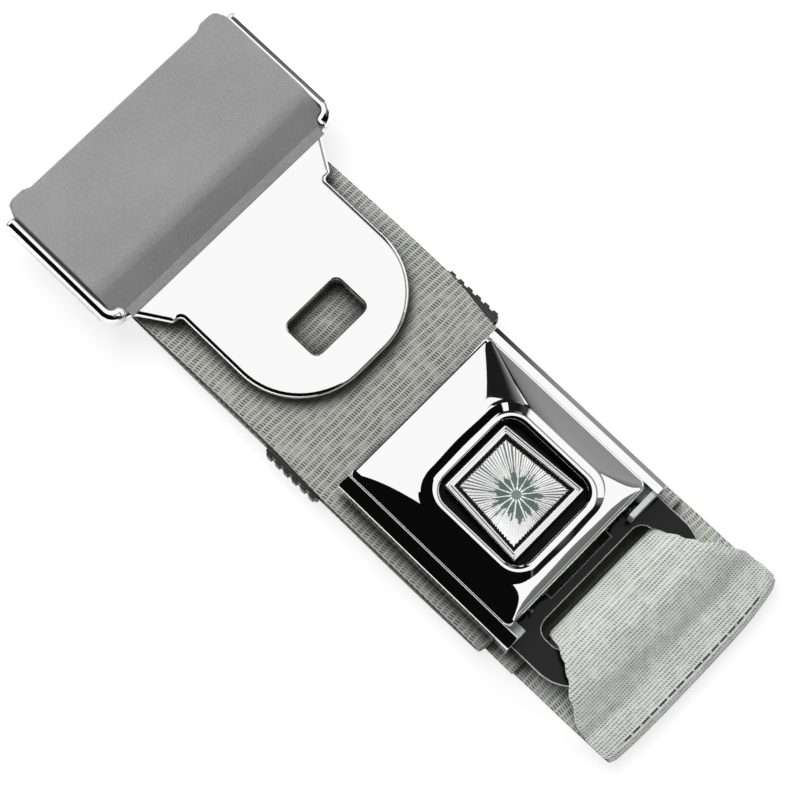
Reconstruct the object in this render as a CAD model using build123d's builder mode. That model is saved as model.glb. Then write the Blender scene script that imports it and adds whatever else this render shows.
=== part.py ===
"""Lap belt buckle set, bundled: tongue, push-button buckle and the webbing folded beneath them.

Millimetres. +X runs along the belt from the tongue to the buckle's webbing fold, +Z is up, and
the bundle lies on z = 0.
"""
import math
import os

from build123d import *

os.makedirs("parts", exist_ok=True)

# Webbing
webbing_width = 49.0
webbing_thick = 1.3
layer_slack = 0.2  # air between two layers that lie on each other
strap_clear = 0.35  # air between the bundle and what lies on it
# Keeper that holds two of the layers together
keeper_length = 13.7
keeper_bar = 0.7
keeper_wall = 0.7
keeper_rib = 0.45
keeper_ribs = 4
keeper_clear = 0.15
keeper_x = -3.75
keeper_corner = 0.6
rib_root = 0.56  # how far a rib is set into the keeper's wall
end_ribs = 1.5  # each end rib takes this many pitches
# Ends of the bundle
tongue_fold_x = -75.2
strap_fold_x = 46.2
lower_fold_x = -73.0
lower_end_x = 53.0
upper_tail_x = -70.0
rear_fold_x = 76.55
rear_fold_r = 1.6
# Buckle webbing's loop, named from the rear fold round to its lower end
loop_first_bend = 5.5  # ahead of the rear fold
loop_bend_drop = 1.1  # below the run beneath the frame's tail bar
loop_over = 1.0  # how far the hump and the lower run pass the tail bar's edges
hump_clear = 2.6  # from the tail bar up to the hump
hump_fall = 0.6
loop_rise = 1.4  # from the frame's top up to where the webbing turns down the slot
slot_in = 2.0  # from the tail bar to the webbing in the slot
frame_gap = 0.3  # beneath the frame
loop_end_in = 4.5
loop_end_drop = 0.9
loop_bends = (4.0, 9.0, 3.2, 1.3, 1.2, 4.0)
# Tongue plate
tongue_y = 0.8  # the tongue lies a little off the buckle's centre line
plate_thick = 2.2
plate_rear_x = -76.5
flange_front_x = -47.2
flange_height = 5.4
flange_corner = 3.5
notch_x = -40.0
notch_step = 1.8  # the neck is this much wider than the blade on each side
notch_run = 2.0
notch_soft_x = 0.3
notch_soft_y = 1.1
neck_back = 4.4
neck_out = 2.4
blade_half = 19.6
nose_x = -7.4
nose_radius = 16.0
window_x = -19.8
window_length = 8.9
window_width = 14.0
window_corner = 2.2
tongue_slot_corner = 1.5
blade_edge = 0.5  # the blade's rounded edge, as a share of its thickness
flange_edge = 0.2
# Tongue cover
cover_rear_x = -78.9
cover_front_x = -47.4
cover_wall = 1.5
cover_slope = 5.8
cover_gap = 0.1
cover_lean = 0.4
cover_front_soft = 4.0
cover_rear_soft = 1.2
cover_edge = 0.3
cover_ear = 4.6
cover_recess = 0.7  # between the two ears at the rear
slope_wall = 1.4  # a sloping wall's length along X, in wall thicknesses
curl_room = 0.9  # round the flanges' curled front corners
tongue_run_end = 3.0  # behind the cover's front
# Lock bar
bar_x = -65.0
bar_radius = 1.8
bar_travel = 1.5
bar_clear = 0.25
bar_end = 1.7
bar_rise = 1.0  # from the plate's top up to the bar's axis
bar_room = 0.3  # between the bar's ends and the cover
loop_room = 0.15  # between the loop and the cover
loop_radius = 1.3
bar_short = 0.3
bar_under = 0.12
bar_end_drop = 0.3
leaf_gap = 0.2
leaf_reach = 3.6
leaf_bow = 1.8
leaf_thick = 0.4
slot_clear = 0.6  # on each side of the webbing in the tongue's slot
# Buckle frame
frame_thick = 1.4
frame_front_x = 8.0
tail_bar = 8.5
tail_side = 5.6
tail_inset = 0.75  # the tail is narrower than the channel by this on each side
tail_start = 4.0  # ahead of the slot
wall_front = 2.0
wall_rear = 8.0  # ahead of the slot
slot_bar = 2.1  # between the latch opening and the slot
slot_corner = 2.6
opening_front = 9.0  # ahead of the tooth
opening_inset = 0.6
opening_corner = 3.0
frame_rear_corner = 9.5
frame_wall = 1.1
slot_gap = 0.8  # from the cover's rear to the webbing slot
slot_length = 6.8
# Buckle cover
shell_front_x = 5.7
shell_rear_x = 49.9
shell_wall = 0.7
shell_skirt = 0.3  # from the frame's underside up to the cover's lower edge
shell_edge = 1.2
step_height = 0.45
border_width = 2.95
rear_border = 2.5
slope_rise = 1.5
corner_round = 4.0
rim_foot = 2.2  # from the well's edge out to the foot of the rim, at the sides
rim_foot_ends = 3.1
rim_rise = 1.2
well_front_x = 19.4
well_rear_x = 41.0
well_half = 10.4
well_corner = 3.4
rim_lean = 1.5  # the rim's flanks lean in by this
rim_edge = 0.3
strip_in = 1.9  # the rear strips reach this far inside the slopes' edge
# Push button
button_front_gap = 1.0
button_rear_gap = 1.4
button_side_gap = 0.9  # at the rear; the front is narrower by the taper
button_taper = 1.25
button_border = 2.1
button_thick = 1.6
button_travel = 2.0
button_clear = 0.3
tray_floor = 0.4
tray_lip = 0.8
tray_play = 0.1
tray_gap = 0.25
core_inset = 0.5
insert_thick = 0.4
trim_low = 0.2
trim_drop = 0.35
trim_ridge = 0.4  # the ridge's place, as a share of the border
plunger_gap = 0.15
plunger_front = 0.6  # ahead of the tooth
plunger_past = 0.4  # behind the tooth's middle
plunger_side = 1.2  # the plunger is narrower than the tooth by this on each side
button_coil_in = 5.0
button_coil_y = 4.5
button_coil_radius = 1.5
# Latch
latch_nose = 1.0
latch_plate = 1.0
latch_side = 7.8  # from the guides in to the latch
tooth_front_x = 27.0
tooth_rear_x = 30.2
tooth_clear = 1.8  # between the tooth's side and the blade's window
tooth_ramp = 1.4
tooth_foot = 0.35
tooth_short = 0.3  # the tooth is this much lower than the blade is thick
pivot_in = 5.4  # from the cover's rear
pivot_radius = 1.2
pivot_play = 0.05
knuckle_wall = 0.8
knuckle_side = 2.3  # the knuckle is narrower than the latch by this on each side
knuckle_relief = 0.4
pin_edge = 0.2
ear_thick = 1.2
ear_gap = 0.3
foot_x = 1.4
foot_y = 2.6
foot_long = 2.2
foot_wide = 3.2
# Blade channel
channel_floor = 2.2  # above the frame plate
blade_play = 0.15
blade_side_play = 0.25
cover_room = 1.75  # from the channel's ceiling up to the cover's border
# Springs
spring_wire = 0.22
spring_chords = 12
# Ejector
ejector_x = 31.6
ejector_bar = 2.0
ejector_tail = 5.0
ejector_tail_thick = 1.2
ejector_play = 0.3
ejector_low = 0.15
ejector_soft = 0.3
ejector_coil_in = 2.6
ejector_coil_radius = 0.6
coil_end = 0.5
# Blade guides
guide_width = 3.55
guide_front_x = 13.0
guide_end = 1.0  # ahead of the slot
guide_end_in = 3.7
guide_end_out = 0.3
guide_end_thick = 1.1
guide_end_drop = 0.4
guide_play = 0.1
rivet_xs = (16.0, 38.0)
rivet_radius = 0.9
rivet_drop = 0.15
ejector_clear = 0.3
ejector_travel = 6.0

# Levels
layer_1 = 0.0
layer_2 = layer_1 + webbing_thick + keeper_bar + 2 * keeper_clear
layer_3 = layer_2 + webbing_thick + layer_slack
layer_4 = layer_3 + webbing_thick + keeper_bar + 2 * keeper_clear
bundle_top = layer_4 + webbing_thick
mid = webbing_thick / 2
tongue_run = bundle_top + strap_clear
plate_z = tongue_run + webbing_thick + strap_clear
plate_top = plate_z + plate_thick
bar_z = plate_top + bar_rise
frame_z = bundle_top + frame_gap
frame_top = frame_z + frame_thick
shell_z = frame_z + shell_skirt
floor_z = frame_top + channel_floor
ceiling_z = floor_z + plate_thick + blade_play
border_z = ceiling_z + cover_room
slope_z = border_z + step_height
rim_z = slope_z + slope_rise
latch_top = floor_z - 0.1
tooth_top = latch_top + plate_thick - tooth_short
tray_z = ceiling_z + 0.1
core_z = tray_z + tray_floor + button_travel + 0.1
top_z = core_z + button_thick

# Widths and lengths that follow from the ones above
tongue_slot_half = webbing_width / 2 + slot_clear
cover_half = tongue_slot_half + bar_end + bar_room + cover_wall
flange_half = cover_half + cover_gap + plate_thick
notch_half = blade_half + notch_step
channel_half = blade_half + blade_side_play
frame_half = channel_half + frame_wall
frame_rear_half = frame_half - tail_inset
slot_half = frame_rear_half - tail_side
shell_half = frame_half + 0.1 + shell_wall
slope_half = shell_half - border_width
slope_rear_x = shell_rear_x - rear_border
slot_front_x = shell_rear_x + slot_gap
slot_rear_x = slot_front_x + slot_length
frame_rear_x = slot_rear_x + tail_bar
rim_half = well_half + rim_foot
rim_front_x = well_front_x - rim_foot_ends
rim_rear_x = well_rear_x + rim_foot_ends
button_front_x = well_front_x + button_front_gap
button_rear_x = well_rear_x - button_rear_gap
button_rear_half = well_half - button_side_gap
button_front_half = button_rear_half - button_taper
latch_front_x = tooth_front_x - latch_nose
pivot_x = shell_rear_x - pivot_in
pivot_z = latch_top - latch_plate / 2
knuckle_radius = pivot_radius + knuckle_wall
guide_in = channel_half - guide_width
ejector_half = guide_in - ejector_clear
latch_half = guide_in - latch_side
knuckle_half = latch_half - knuckle_side
tooth_half = window_width / 2 - tooth_clear
plunger_half = tooth_half - plunger_side
ear_y = latch_half + ear_gap + ear_thick / 2
bar_flat = bar_radius + 0.4
rim_taper = math.degrees(math.atan2(rim_lean, rim_rise))


def ribbon(*points, radius, y=0):
    """A webbing run's section in the X-Z plane at y, one webbing thick along its centre line."""
    with BuildSketch(Plane.XZ.offset(-y)) as section:
        with BuildLine():
            FilletPolyline(*points, radius=radius)
        trace(line_width=webbing_thick)
    return section.sketch


def button_outline(inset, level):
    """The button's tapered outline, drawn in by inset."""
    front, rear = button_front_x + inset, button_rear_x - inset
    with BuildSketch(Plane.XY.offset(level)) as outline:
        with BuildLine():
            Polyline(
                (front, -button_front_half + inset),
                (rear, -button_rear_half + inset),
                (rear, button_rear_half - inset),
                (front, button_front_half - inset),
                close=True,
            )
        make_face()
    return outline.sketch


def spring(start, height, radius, turns, along=(0, 0, 1)):
    """A coil spring's solid, wound from start along one axis, each turn in twelve chords."""
    wound = Plane(start, z_dir=along)
    chord = 360 / spring_chords
    with BuildLine() as path:
        Polyline(
            *(
                wound.from_local_coords(
                    Vector(radius, 0, height * n / (turns * spring_chords)).rotate(Axis.Z, n * chord)
                )
                for n in range(turns * spring_chords + 1)
            )
        )
    with BuildSketch(Plane(path.line @ 0, z_dir=path.line % 0)) as wire:
        RegularPolygon(spring_wire, 6)
    return sweep(wire.sketch, path=path.line, transition=Transition.RIGHT)


# Upper webbing: from the tongue's fold to beneath the buckle, and back as the third layer
fold_mid = (tongue_run + layer_4 + webbing_thick) / 2
with BuildPart() as tongue_strap:
    with BuildSketch(Plane.XZ):
        with BuildLine():
            turn_r = fold_mid - layer_4 - mid
            back_r = (layer_4 - layer_3) / 2
            CenterArc((tongue_fold_x, fold_mid), turn_r, 180, 90)
            Line((tongue_fold_x, layer_4 + mid), (strap_fold_x - back_r - mid, layer_4 + mid))
            CenterArc((strap_fold_x - back_r - mid, layer_3 + mid + back_r), back_r, -90, 180)
            Line((strap_fold_x - back_r - mid, layer_3 + mid), (upper_tail_x, layer_3 + mid))
        trace(line_width=webbing_thick)
    extrude(amount=webbing_width / 2, both=True)
tongue_strap.part.label = "tongue_strap"
export_step(tongue_strap.part, "parts/tongue_strap.step")

# Lower webbing: from the rear fold along the bottom, up at the tongue end and back to its cut end
with BuildPart() as lower_strap:
    with BuildSketch(Plane.XZ):
        with BuildLine():
            up_r = (layer_2 - layer_1) / 2
            CenterArc((rear_fold_x, layer_1 + mid + rear_fold_r), rear_fold_r, -90, 90)
            Line((rear_fold_x, layer_1 + mid), (lower_fold_x + up_r + mid, layer_1 + mid))
            CenterArc((lower_fold_x + up_r + mid, layer_1 + mid + up_r), up_r, 90, 180)
            Line((lower_fold_x + up_r + mid, layer_2 + mid), (lower_end_x, layer_2 + mid))
        trace(line_width=webbing_thick)
    extrude(amount=webbing_width / 2, both=True)
lower_strap.part.label = "lower_strap"
export_step(lower_strap.part, "parts/lower_strap.step")

# Keeper: a flat loop round the second and third layers, ribbed on both sides
keeper_low = layer_2 - keeper_clear - keeper_bar
keeper_high = layer_3 + webbing_thick + keeper_clear + keeper_bar
keeper_inner = webbing_width / 2 + keeper_clear
rib_pitch = keeper_length / (keeper_ribs + 2 * end_ribs)
with BuildPart() as webbing_keeper:
    with BuildSketch(Plane.YZ.offset(keeper_x - keeper_length / 2)):
        with Locations((0, (keeper_low + keeper_high) / 2)):
            RectangleRounded(2 * (keeper_inner + keeper_wall), keeper_high - keeper_low, keeper_corner)
            Rectangle(
                2 * keeper_inner, keeper_high - keeper_low - 2 * keeper_bar, mode=Mode.SUBTRACT
            )
    extrude(amount=keeper_length)
    rib_depth = rib_root + keeper_rib
    rib_y = keeper_inner + keeper_wall + keeper_rib - rib_depth / 2
    with BuildSketch(Plane.XY.offset(keeper_low + keeper_rib)):
        with Locations((keeper_x, rib_y), (keeper_x, -rib_y)):
            with GridLocations(rib_pitch, 1, keeper_ribs, 1):
                Rectangle(rib_pitch / 2, rib_depth)
            with GridLocations(keeper_length - rib_pitch, 1, 2, 1):
                Rectangle(rib_pitch, rib_depth)
    extrude(amount=keeper_high - keeper_low - 2 * keeper_rib)
webbing_keeper.part.label = "webbing_keeper"
export_step(webbing_keeper.part, "parts/webbing_keeper.step")

# Tongue plate: blade with a latch window, a neck, and a tray with upturned flanges behind it
leg_in = bar_radius + bar_clear + mid
slot_low_x = bar_x - leg_in - mid - strap_clear
slot_high_x = bar_x + leg_in + bar_travel + mid + strap_clear
with BuildPart() as tongue_plate:
    with BuildSketch(Plane((0, tongue_y, plate_z))):
        with BuildLine():
            wall = Polyline(
                (flange_front_x - plate_thick, flange_half - flange_corner),
                (flange_front_x - plate_thick, flange_half - plate_thick),
                (plate_rear_x, flange_half - plate_thick),
                (plate_rear_x, flange_half),
                (flange_front_x - flange_corner, flange_half),
            )
            tip_y = flange_half - flange_corner
            tip = TangentArc(wall @ 1, (flange_front_x, tip_y), tangent=wall % 1)
            Line(tip @ 1, wall @ 0)
        make_face()
        mirror(about=Plane.XZ)
    extrude(amount=flange_height)
    chamfer(tongue_plate.faces().sort_by(Axis.Z)[-2:].edges(), plate_thick * flange_edge)
    with BuildSketch(Plane((0, tongue_y, plate_z))):
        with BuildLine():
            tray = Polyline(
                (plate_rear_x, 0),
                (plate_rear_x, flange_half),
                (flange_front_x - flange_corner, flange_half),
            )
            curl = TangentArc(tray @ 1, (flange_front_x, tip_y), tangent=tray % 1)
            neck = ThreePointArc(
                curl @ 1, (notch_x - neck_back, notch_half + neck_out), (notch_x, notch_half)
            )
            step = Polyline(
                neck @ 1,
                (notch_x + notch_soft_x, blade_half + notch_soft_y),
                (notch_x + notch_run, blade_half),
            )
            side = Line(step @ 1, (nose_x - nose_radius, blade_half))
            nose = TangentArc(side @ 1, (nose_x, blade_half - nose_radius), tangent=side % 1)
            Line(nose @ 1, (nose_x, 0))
            mirror(about=Plane.XZ)
        make_face()
    extrude(amount=plate_thick)
    blade_rim = tongue_plate.faces().filter_by(Axis.Z).sort_by(SortBy.AREA)[-2:].sort_by(Axis.Z)[-1]
    fillet(
        blade_rim.edges().filter_by(lambda edge: edge.center().X > notch_x + 1.5 * notch_run),
        plate_thick * blade_edge,
    )
    with BuildSketch(Plane.XY.offset(plate_z)):
        with Locations((window_x, tongue_y)):
            RectangleRounded(window_length, window_width, window_corner)
        with Locations(((slot_low_x + slot_high_x) / 2, tongue_y)):
            RectangleRounded(slot_high_x - slot_low_x, 2 * tongue_slot_half, tongue_slot_corner)
    extrude(amount=plate_thick, mode=Mode.SUBTRACT)
tongue_plate.part.label = "tongue_plate"
export_step(tongue_plate.part, "parts/tongue_plate.step")

# Tongue cover: a moulded cap between the flanges, open below
cover_z = plate_top + cover_gap
cover_top = bar_z + bar_radius + bar_clear + webbing_thick + loop_room + cover_wall


def cap_section(inset):
    """The cap's long section, from its upright rear wall to the sloping front."""
    top = cover_top - inset
    slope_start = (cover_front_x - cover_slope - inset * (slope_wall - 1), top)
    with BuildSketch(Plane.XZ.offset(-tongue_y)) as section:
        with BuildLine():
            Polyline(
                (cover_rear_x + inset, cover_z),
                (cover_rear_x + cover_lean + inset, top),
                slope_start,
                (cover_front_x - slope_wall * inset, cover_z),
                close=True,
            )
        make_face()
        soft = section.vertices().sort_by(Axis.X)
        fillet(soft[2:3], cover_front_soft - inset)
        fillet(soft[1:2], cover_rear_soft)
    return section.sketch


with BuildPart() as tongue_cover:
    extrude(cap_section(0), amount=cover_half, both=True)
    fillet(tongue_cover.edges().filter_by(GeomType.LINE).sort_by(Axis.Z)[-2:], cover_edge)
    with BuildSketch(Plane((cover_rear_x, tongue_y, cover_z))):
        Rectangle(2 * cover_recess, 2 * (cover_half - cover_ear))
    extrude(amount=cover_top - cover_z, mode=Mode.SUBTRACT)
    with BuildSketch(Plane((cover_front_x, tongue_y, cover_z))):
        for side in (1, -1):
            with Locations((0, side * cover_half)):
                Rectangle(
                    2 * (plate_thick + cover_gap), 2 * (flange_corner - plate_thick + curl_room)
                )
    extrude(amount=flange_height - plate_thick + cover_gap, mode=Mode.SUBTRACT)
    extrude(
        cap_section(cover_wall), amount=cover_half - cover_wall, both=True, mode=Mode.SUBTRACT
    )
tongue_cover.part.label = "tongue_cover"
export_step(tongue_cover.part, "parts/tongue_cover.step")

# Tongue webbing: from the fold, up through the plate, over the lock bar and out beneath the blade
over_bar = bar_z + bar_radius + bar_clear + mid
loop = ribbon(
    (tongue_fold_x, tongue_run + mid),
    (bar_x - leg_in, tongue_run + mid),
    (bar_x - leg_in, over_bar),
    (bar_x + leg_in + bar_travel, over_bar),
    (bar_x + leg_in + bar_travel, tongue_run + mid),
    (cover_front_x - tongue_run_end, tongue_run + mid),
    radius=loop_radius,
    y=tongue_y,
)
with BuildPart() as tongue_webbing:
    extrude(loop, amount=webbing_width / 2, both=True)
tongue_webbing.part.label = "tongue_webbing"
export_step(tongue_webbing.part, "parts/tongue_webbing.step")

# Lock bar: a round bar across the loop, its flattened ends sliding between the flanges
with BuildPart() as lock_bar:
    with BuildSketch(Plane((bar_x, tongue_y, bar_z), x_dir=(1, 0, 0), z_dir=(0, 1, 0))):
        Circle(bar_radius)
    extrude(amount=tongue_slot_half - bar_short, both=True)
    with BuildSketch(Plane.XY.offset(plate_top + bar_under)):
        with Locations((bar_x, tongue_y)):
            with GridLocations(1, 2 * tongue_slot_half + bar_end, 1, 2):
                Rectangle(2 * bar_flat, bar_end)
    extrude(amount=bar_z - plate_top + bar_radius - bar_end_drop)
lock_bar.part.label = "lock_bar"
export_step(lock_bar.part, "parts/lock_bar.step")

# Lock bar springs: a bowed leaf ahead of each end of the bar
leaf_start = bar_x + bar_flat + bar_travel + leaf_gap
leaf_z = plate_top + leaf_thick
with BuildPart() as lock_bar_springs:
    with BuildSketch(Plane.XZ.offset(-tongue_y)):
        with BuildLine():
            ThreePointArc(
                (leaf_start, leaf_z),
                (leaf_start + leaf_reach, leaf_z + leaf_bow),
                (leaf_start + 2 * leaf_reach, leaf_z),
            )
        trace(line_width=leaf_thick)
    extrude(amount=tongue_slot_half + bar_end - cover_gap, both=True)
    with BuildSketch(Plane.XZ.offset(-tongue_y)):
        with Locations((leaf_start + leaf_reach, leaf_z)):
            Rectangle(3 * leaf_reach, 4 * leaf_bow)
    extrude(amount=tongue_slot_half, both=True, mode=Mode.SUBTRACT)
lock_bar_springs.part.label = "lock_bar_springs"
export_step(lock_bar_springs.part, "parts/lock_bar_springs.step")

# Buckle frame: a stamped channel with the latch opening, the webbing slot and a rounded tail
opening_front_x = tooth_front_x - opening_front
opening_rear_x = slot_front_x - slot_bar
tail_start_x = slot_front_x - tail_start
wall_front_x = frame_front_x + wall_front
wall_rear_x = slot_front_x - wall_rear
with BuildPart() as buckle_frame:
    with BuildSketch(Plane.XY.offset(frame_z)):
        with Locations(((frame_front_x + frame_rear_x) / 2, 0)):
            tail = Rectangle(frame_rear_x - frame_front_x, 2 * frame_rear_half)
        fillet(tail.vertices().group_by(Axis.X)[-1], frame_rear_corner)
        with Locations(((frame_front_x + tail_start_x) / 2, 0)):
            Rectangle(tail_start_x - frame_front_x, 2 * frame_half)
        with Locations(((opening_front_x + opening_rear_x) / 2, 0)):
            RectangleRounded(
                opening_rear_x - opening_front_x,
                2 * (slot_half - opening_inset),
                opening_corner,
                mode=Mode.SUBTRACT,
            )
        with Locations(((slot_front_x + slot_rear_x) / 2, 0)):
            RectangleRounded(slot_length, 2 * slot_half, slot_corner, mode=Mode.SUBTRACT)
    extrude(amount=frame_thick)
    with BuildSketch(Plane.XY.offset(frame_top)):
        with Locations(((wall_front_x + wall_rear_x) / 2, 0)):
            with GridLocations(1, 2 * frame_half - frame_wall, 1, 2):
                Rectangle(wall_rear_x - wall_front_x, frame_wall)
    extrude(amount=ceiling_z - frame_top)
    with BuildSketch(Plane.XY.offset(frame_z)):
        for side in (1, -1):
            with Locations((pivot_x + foot_x, side * (ear_y + foot_y))):
                Rectangle(2 * (knuckle_radius + foot_long), ear_thick + 2 * foot_wide)
    extrude(amount=frame_thick)
    with BuildSketch(Plane.XZ):
        with Locations((pivot_x, pivot_z)):
            Circle(knuckle_radius)
        with Locations((pivot_x, (pivot_z + frame_z) / 2)):
            Rectangle(2 * knuckle_radius, pivot_z - frame_z)
    extrude(amount=ear_y + ear_thick / 2, both=True)
    with BuildSketch(Plane.XZ):
        with Locations((pivot_x, (pivot_z + frame_z) / 2)):
            Rectangle(2 * (knuckle_radius + 2 * ear_gap), 2 * pivot_z)
    extrude(amount=ear_y - ear_thick / 2, both=True, mode=Mode.SUBTRACT)
    with BuildSketch(Plane.XZ):
        with Locations((pivot_x, pivot_z)):
            Circle(pivot_radius)
    extrude(amount=frame_half, both=True, mode=Mode.SUBTRACT)
buckle_frame.part.label = "buckle_frame"
export_step(buckle_frame.part, "parts/buckle_frame.step")


def slopes(inset, base):
    """The four slopes' solid above base: two crossed profiles with their corner edges rounded."""
    with BuildPart() as form:
        with BuildSketch(Plane.XZ):
            with BuildLine():
                Polyline(
                    (shell_front_x + inset, base),
                    (shell_front_x + inset, slope_z - inset),
                    (rim_front_x + inset, rim_z - inset),
                    (rim_rear_x - inset, rim_z - inset),
                    (slope_rear_x - inset, slope_z - inset),
                    (slope_rear_x - inset, base),
                    close=True,
                )
            make_face()
        extrude(amount=shell_half, both=True)
        with BuildSketch(Plane.YZ.offset(shell_front_x)):
            with BuildLine():
                half = Polyline(
                    (0, base),
                    (slope_half - inset, base),
                    (slope_half - inset, slope_z - inset),
                    (rim_half - inset, rim_z - inset),
                    (0, rim_z - inset),
                )
                mirror(half, about=Plane.YZ)
            make_face()
        extrude(amount=shell_rear_x - shell_front_x, mode=Mode.INTERSECT)
        corners = form.edges().filter_by(lambda edge: edge.length > slope_rise + inset).filter_by(
            lambda edge: slope_z - inset < edge.center().Z < rim_z - inset
        )
        fillet(corners, corner_round)
    return form.part


# Buckle cover: a formed shell, flat borders, four slopes and a rolled rim round the button well
well_x = (well_front_x + well_rear_x) / 2
outer_slopes = slopes(0, border_z - 0.1)
inner_slopes = slopes(shell_wall, border_z - 2 * shell_wall)
with BuildPart() as buckle_cover:
    with BuildSketch(Plane.YZ.offset(shell_front_x)):
        with Locations((0, (shell_z + border_z) / 2)):
            wall = Rectangle(2 * shell_half, border_z - shell_z)
        fillet(wall.vertices().group_by(Axis.Y)[-1], shell_edge)
    extrude(amount=shell_rear_x - shell_front_x)
    add(outer_slopes)
    with BuildSketch(Plane((well_x, 0, rim_z))):
        RectangleRounded(rim_rear_x - rim_front_x, 2 * rim_half, well_corner + rim_foot)
    extrude(amount=rim_rise, taper=rim_taper)
    chamfer(buckle_cover.faces().sort_by(Axis.Z)[-1].edges(), rim_edge)
    # hollow, open at the mouth, at the rear and below
    with BuildSketch(Plane.YZ.offset(shell_front_x - 1)):
        with Locations((0, (shell_z + border_z - shell_wall) / 2 - 1)):
            room = Rectangle(2 * (shell_half - shell_wall), border_z - shell_wall - shell_z + 2)
        fillet(room.vertices().group_by(Axis.Y)[-1], shell_edge - shell_wall)
    extrude(amount=shell_rear_x - shell_front_x + 2, mode=Mode.SUBTRACT)
    add(inner_slopes, mode=Mode.SUBTRACT)
    with BuildSketch(Plane((well_x, 0, slope_z))):
        RectangleRounded(well_rear_x - well_front_x, 2 * well_half, well_corner)
    extrude(amount=slope_rise + 2 * rim_rise, mode=Mode.SUBTRACT)
    # the borders run on past the rear slope as two side strips
    with BuildSketch(Plane.XY.offset(border_z - 2 * shell_wall)):
        with Locations((slope_rear_x, 0)):
            Rectangle(
                2 * rear_border, 2 * (slope_half - strip_in), align=(Align.MIN, Align.CENTER)
            )
    extrude(amount=4 * shell_wall, mode=Mode.SUBTRACT)
buckle_cover.part.label = "buckle_cover"
export_step(buckle_cover.part, "parts/buckle_cover.step")

# Well liner: a black tray beneath the rim, with a hole for the button's plunger
plunger_front_x = tooth_front_x - plunger_front
plunger_rear_x = (tooth_front_x + tooth_rear_x) / 2 + plunger_past
tray_top = rim_z - shell_wall - tray_gap
with BuildPart() as well_liner:
    with BuildSketch(Plane((well_x, 0, tray_z))):
        RectangleRounded(
            well_rear_x - well_front_x + 2 * tray_lip, 2 * (well_half + tray_lip), well_corner + tray_lip
        )
    extrude(amount=tray_top - tray_z)
    with BuildSketch(Plane((well_x, 0, tray_z + tray_floor))):
        RectangleRounded(
            well_rear_x - well_front_x + 2 * tray_play, 2 * (well_half + tray_play), well_corner
        )
    extrude(amount=tray_top - tray_z, mode=Mode.SUBTRACT)
    with BuildSketch(Plane.XY.offset(tray_z)):
        with Locations(((plunger_front_x + plunger_rear_x) / 2, 0)):
            Rectangle(
                plunger_rear_x - plunger_front_x + 2 * button_clear,
                2 * (plunger_half + button_clear),
            )
    extrude(amount=tray_floor, mode=Mode.SUBTRACT)
well_liner.part.label = "well_liner"
export_step(well_liner.part, "parts/well_liner.step")

# Blade guides: a moulded ledge along each side of the channel, the right one with an upright end
guide_rear_x = slot_front_x - guide_end
guide_end_y = guide_in - guide_end_in
rivet_y = (guide_in + channel_half) / 2
with BuildPart() as blade_guides:
    with BuildSketch(Plane.XY.offset(frame_top)):
        with Locations(((guide_front_x + guide_rear_x) / 2, 0)):
            with GridLocations(1, guide_in + channel_half, 1, 2):
                Rectangle(guide_rear_x - guide_front_x, guide_width - guide_play)
    extrude(amount=floor_z - frame_top)
    with BuildSketch(Plane.XY.offset(frame_top)):
        with Locations((guide_rear_x, guide_end_y)):
            Rectangle(
                guide_end_thick,
                channel_half - guide_end_out - guide_end_y,
                align=(Align.MAX, Align.MIN),
            )
    extrude(amount=border_z - shell_wall - guide_end_drop - frame_top)
    with BuildSketch(Plane.XY.offset(frame_top)):
        for x in rivet_xs:
            with Locations((x, 0)):
                with GridLocations(1, 2 * rivet_y, 1, 2):
                    Circle(rivet_radius)
    extrude(amount=floor_z - frame_top, mode=Mode.SUBTRACT)
blade_guides.part.label = "blade_guides"
export_step(blade_guides.part, "parts/blade_guides.step")

# Guide rivets: one at each end of each ledge, flush in the ledge and set in the frame
with BuildPart() as guide_rivets:
    with BuildSketch(Plane.XY.offset(frame_top)):
        for x in rivet_xs:
            with Locations((x, 0)):
                with GridLocations(1, 2 * rivet_y, 1, 2):
                    Circle(rivet_radius)
    extrude(amount=floor_z - frame_top - rivet_drop)
guide_rivets.part.label = "guide_rivets"
export_step(guide_rivets.part, "parts/guide_rivets.step")

# Latch: a plate on a cross pin, its tooth standing up through the channel floor
with BuildPart() as latch_pawl:
    with BuildSketch(Plane.XZ):
        with BuildLine():
            Polyline(
                (latch_front_x, pivot_z - latch_plate / 2),
                (pivot_x, pivot_z - latch_plate / 2),
                (pivot_x, pivot_z + latch_plate / 2),
                (latch_front_x, pivot_z + latch_plate / 2),
                close=True,
            )
        make_face()
        with Locations((pivot_x, pivot_z)):
            Circle(knuckle_radius)
    extrude(amount=latch_half, both=True)
    with BuildSketch(Plane.XY.offset(pivot_z - knuckle_radius)):
        with Locations((pivot_x - knuckle_radius - knuckle_relief, 0)):
            with GridLocations(1, latch_half + knuckle_half, 1, 2):
                Rectangle(
                    3 * knuckle_radius, latch_half - knuckle_half, align=(Align.MIN, Align.CENTER)
                )
    extrude(amount=2 * knuckle_radius, mode=Mode.SUBTRACT)
    with BuildSketch(Plane.XZ):
        with BuildLine():
            Polyline(
                (tooth_front_x, pivot_z),
                (tooth_rear_x, pivot_z),
                (tooth_rear_x, tooth_top),
                (tooth_front_x + tooth_ramp, tooth_top),
                (tooth_front_x, latch_top + tooth_foot * (tooth_top - latch_top)),
                close=True,
            )
        make_face()
    extrude(amount=tooth_half, both=True)
    with BuildSketch(Plane.XZ):
        with Locations((pivot_x, pivot_z)):
            Circle(pivot_radius + pivot_play)
    extrude(amount=latch_half, both=True, mode=Mode.SUBTRACT)
latch_pawl.part.label = "latch_pawl"
export_step(latch_pawl.part, "parts/latch_pawl.step")

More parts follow.
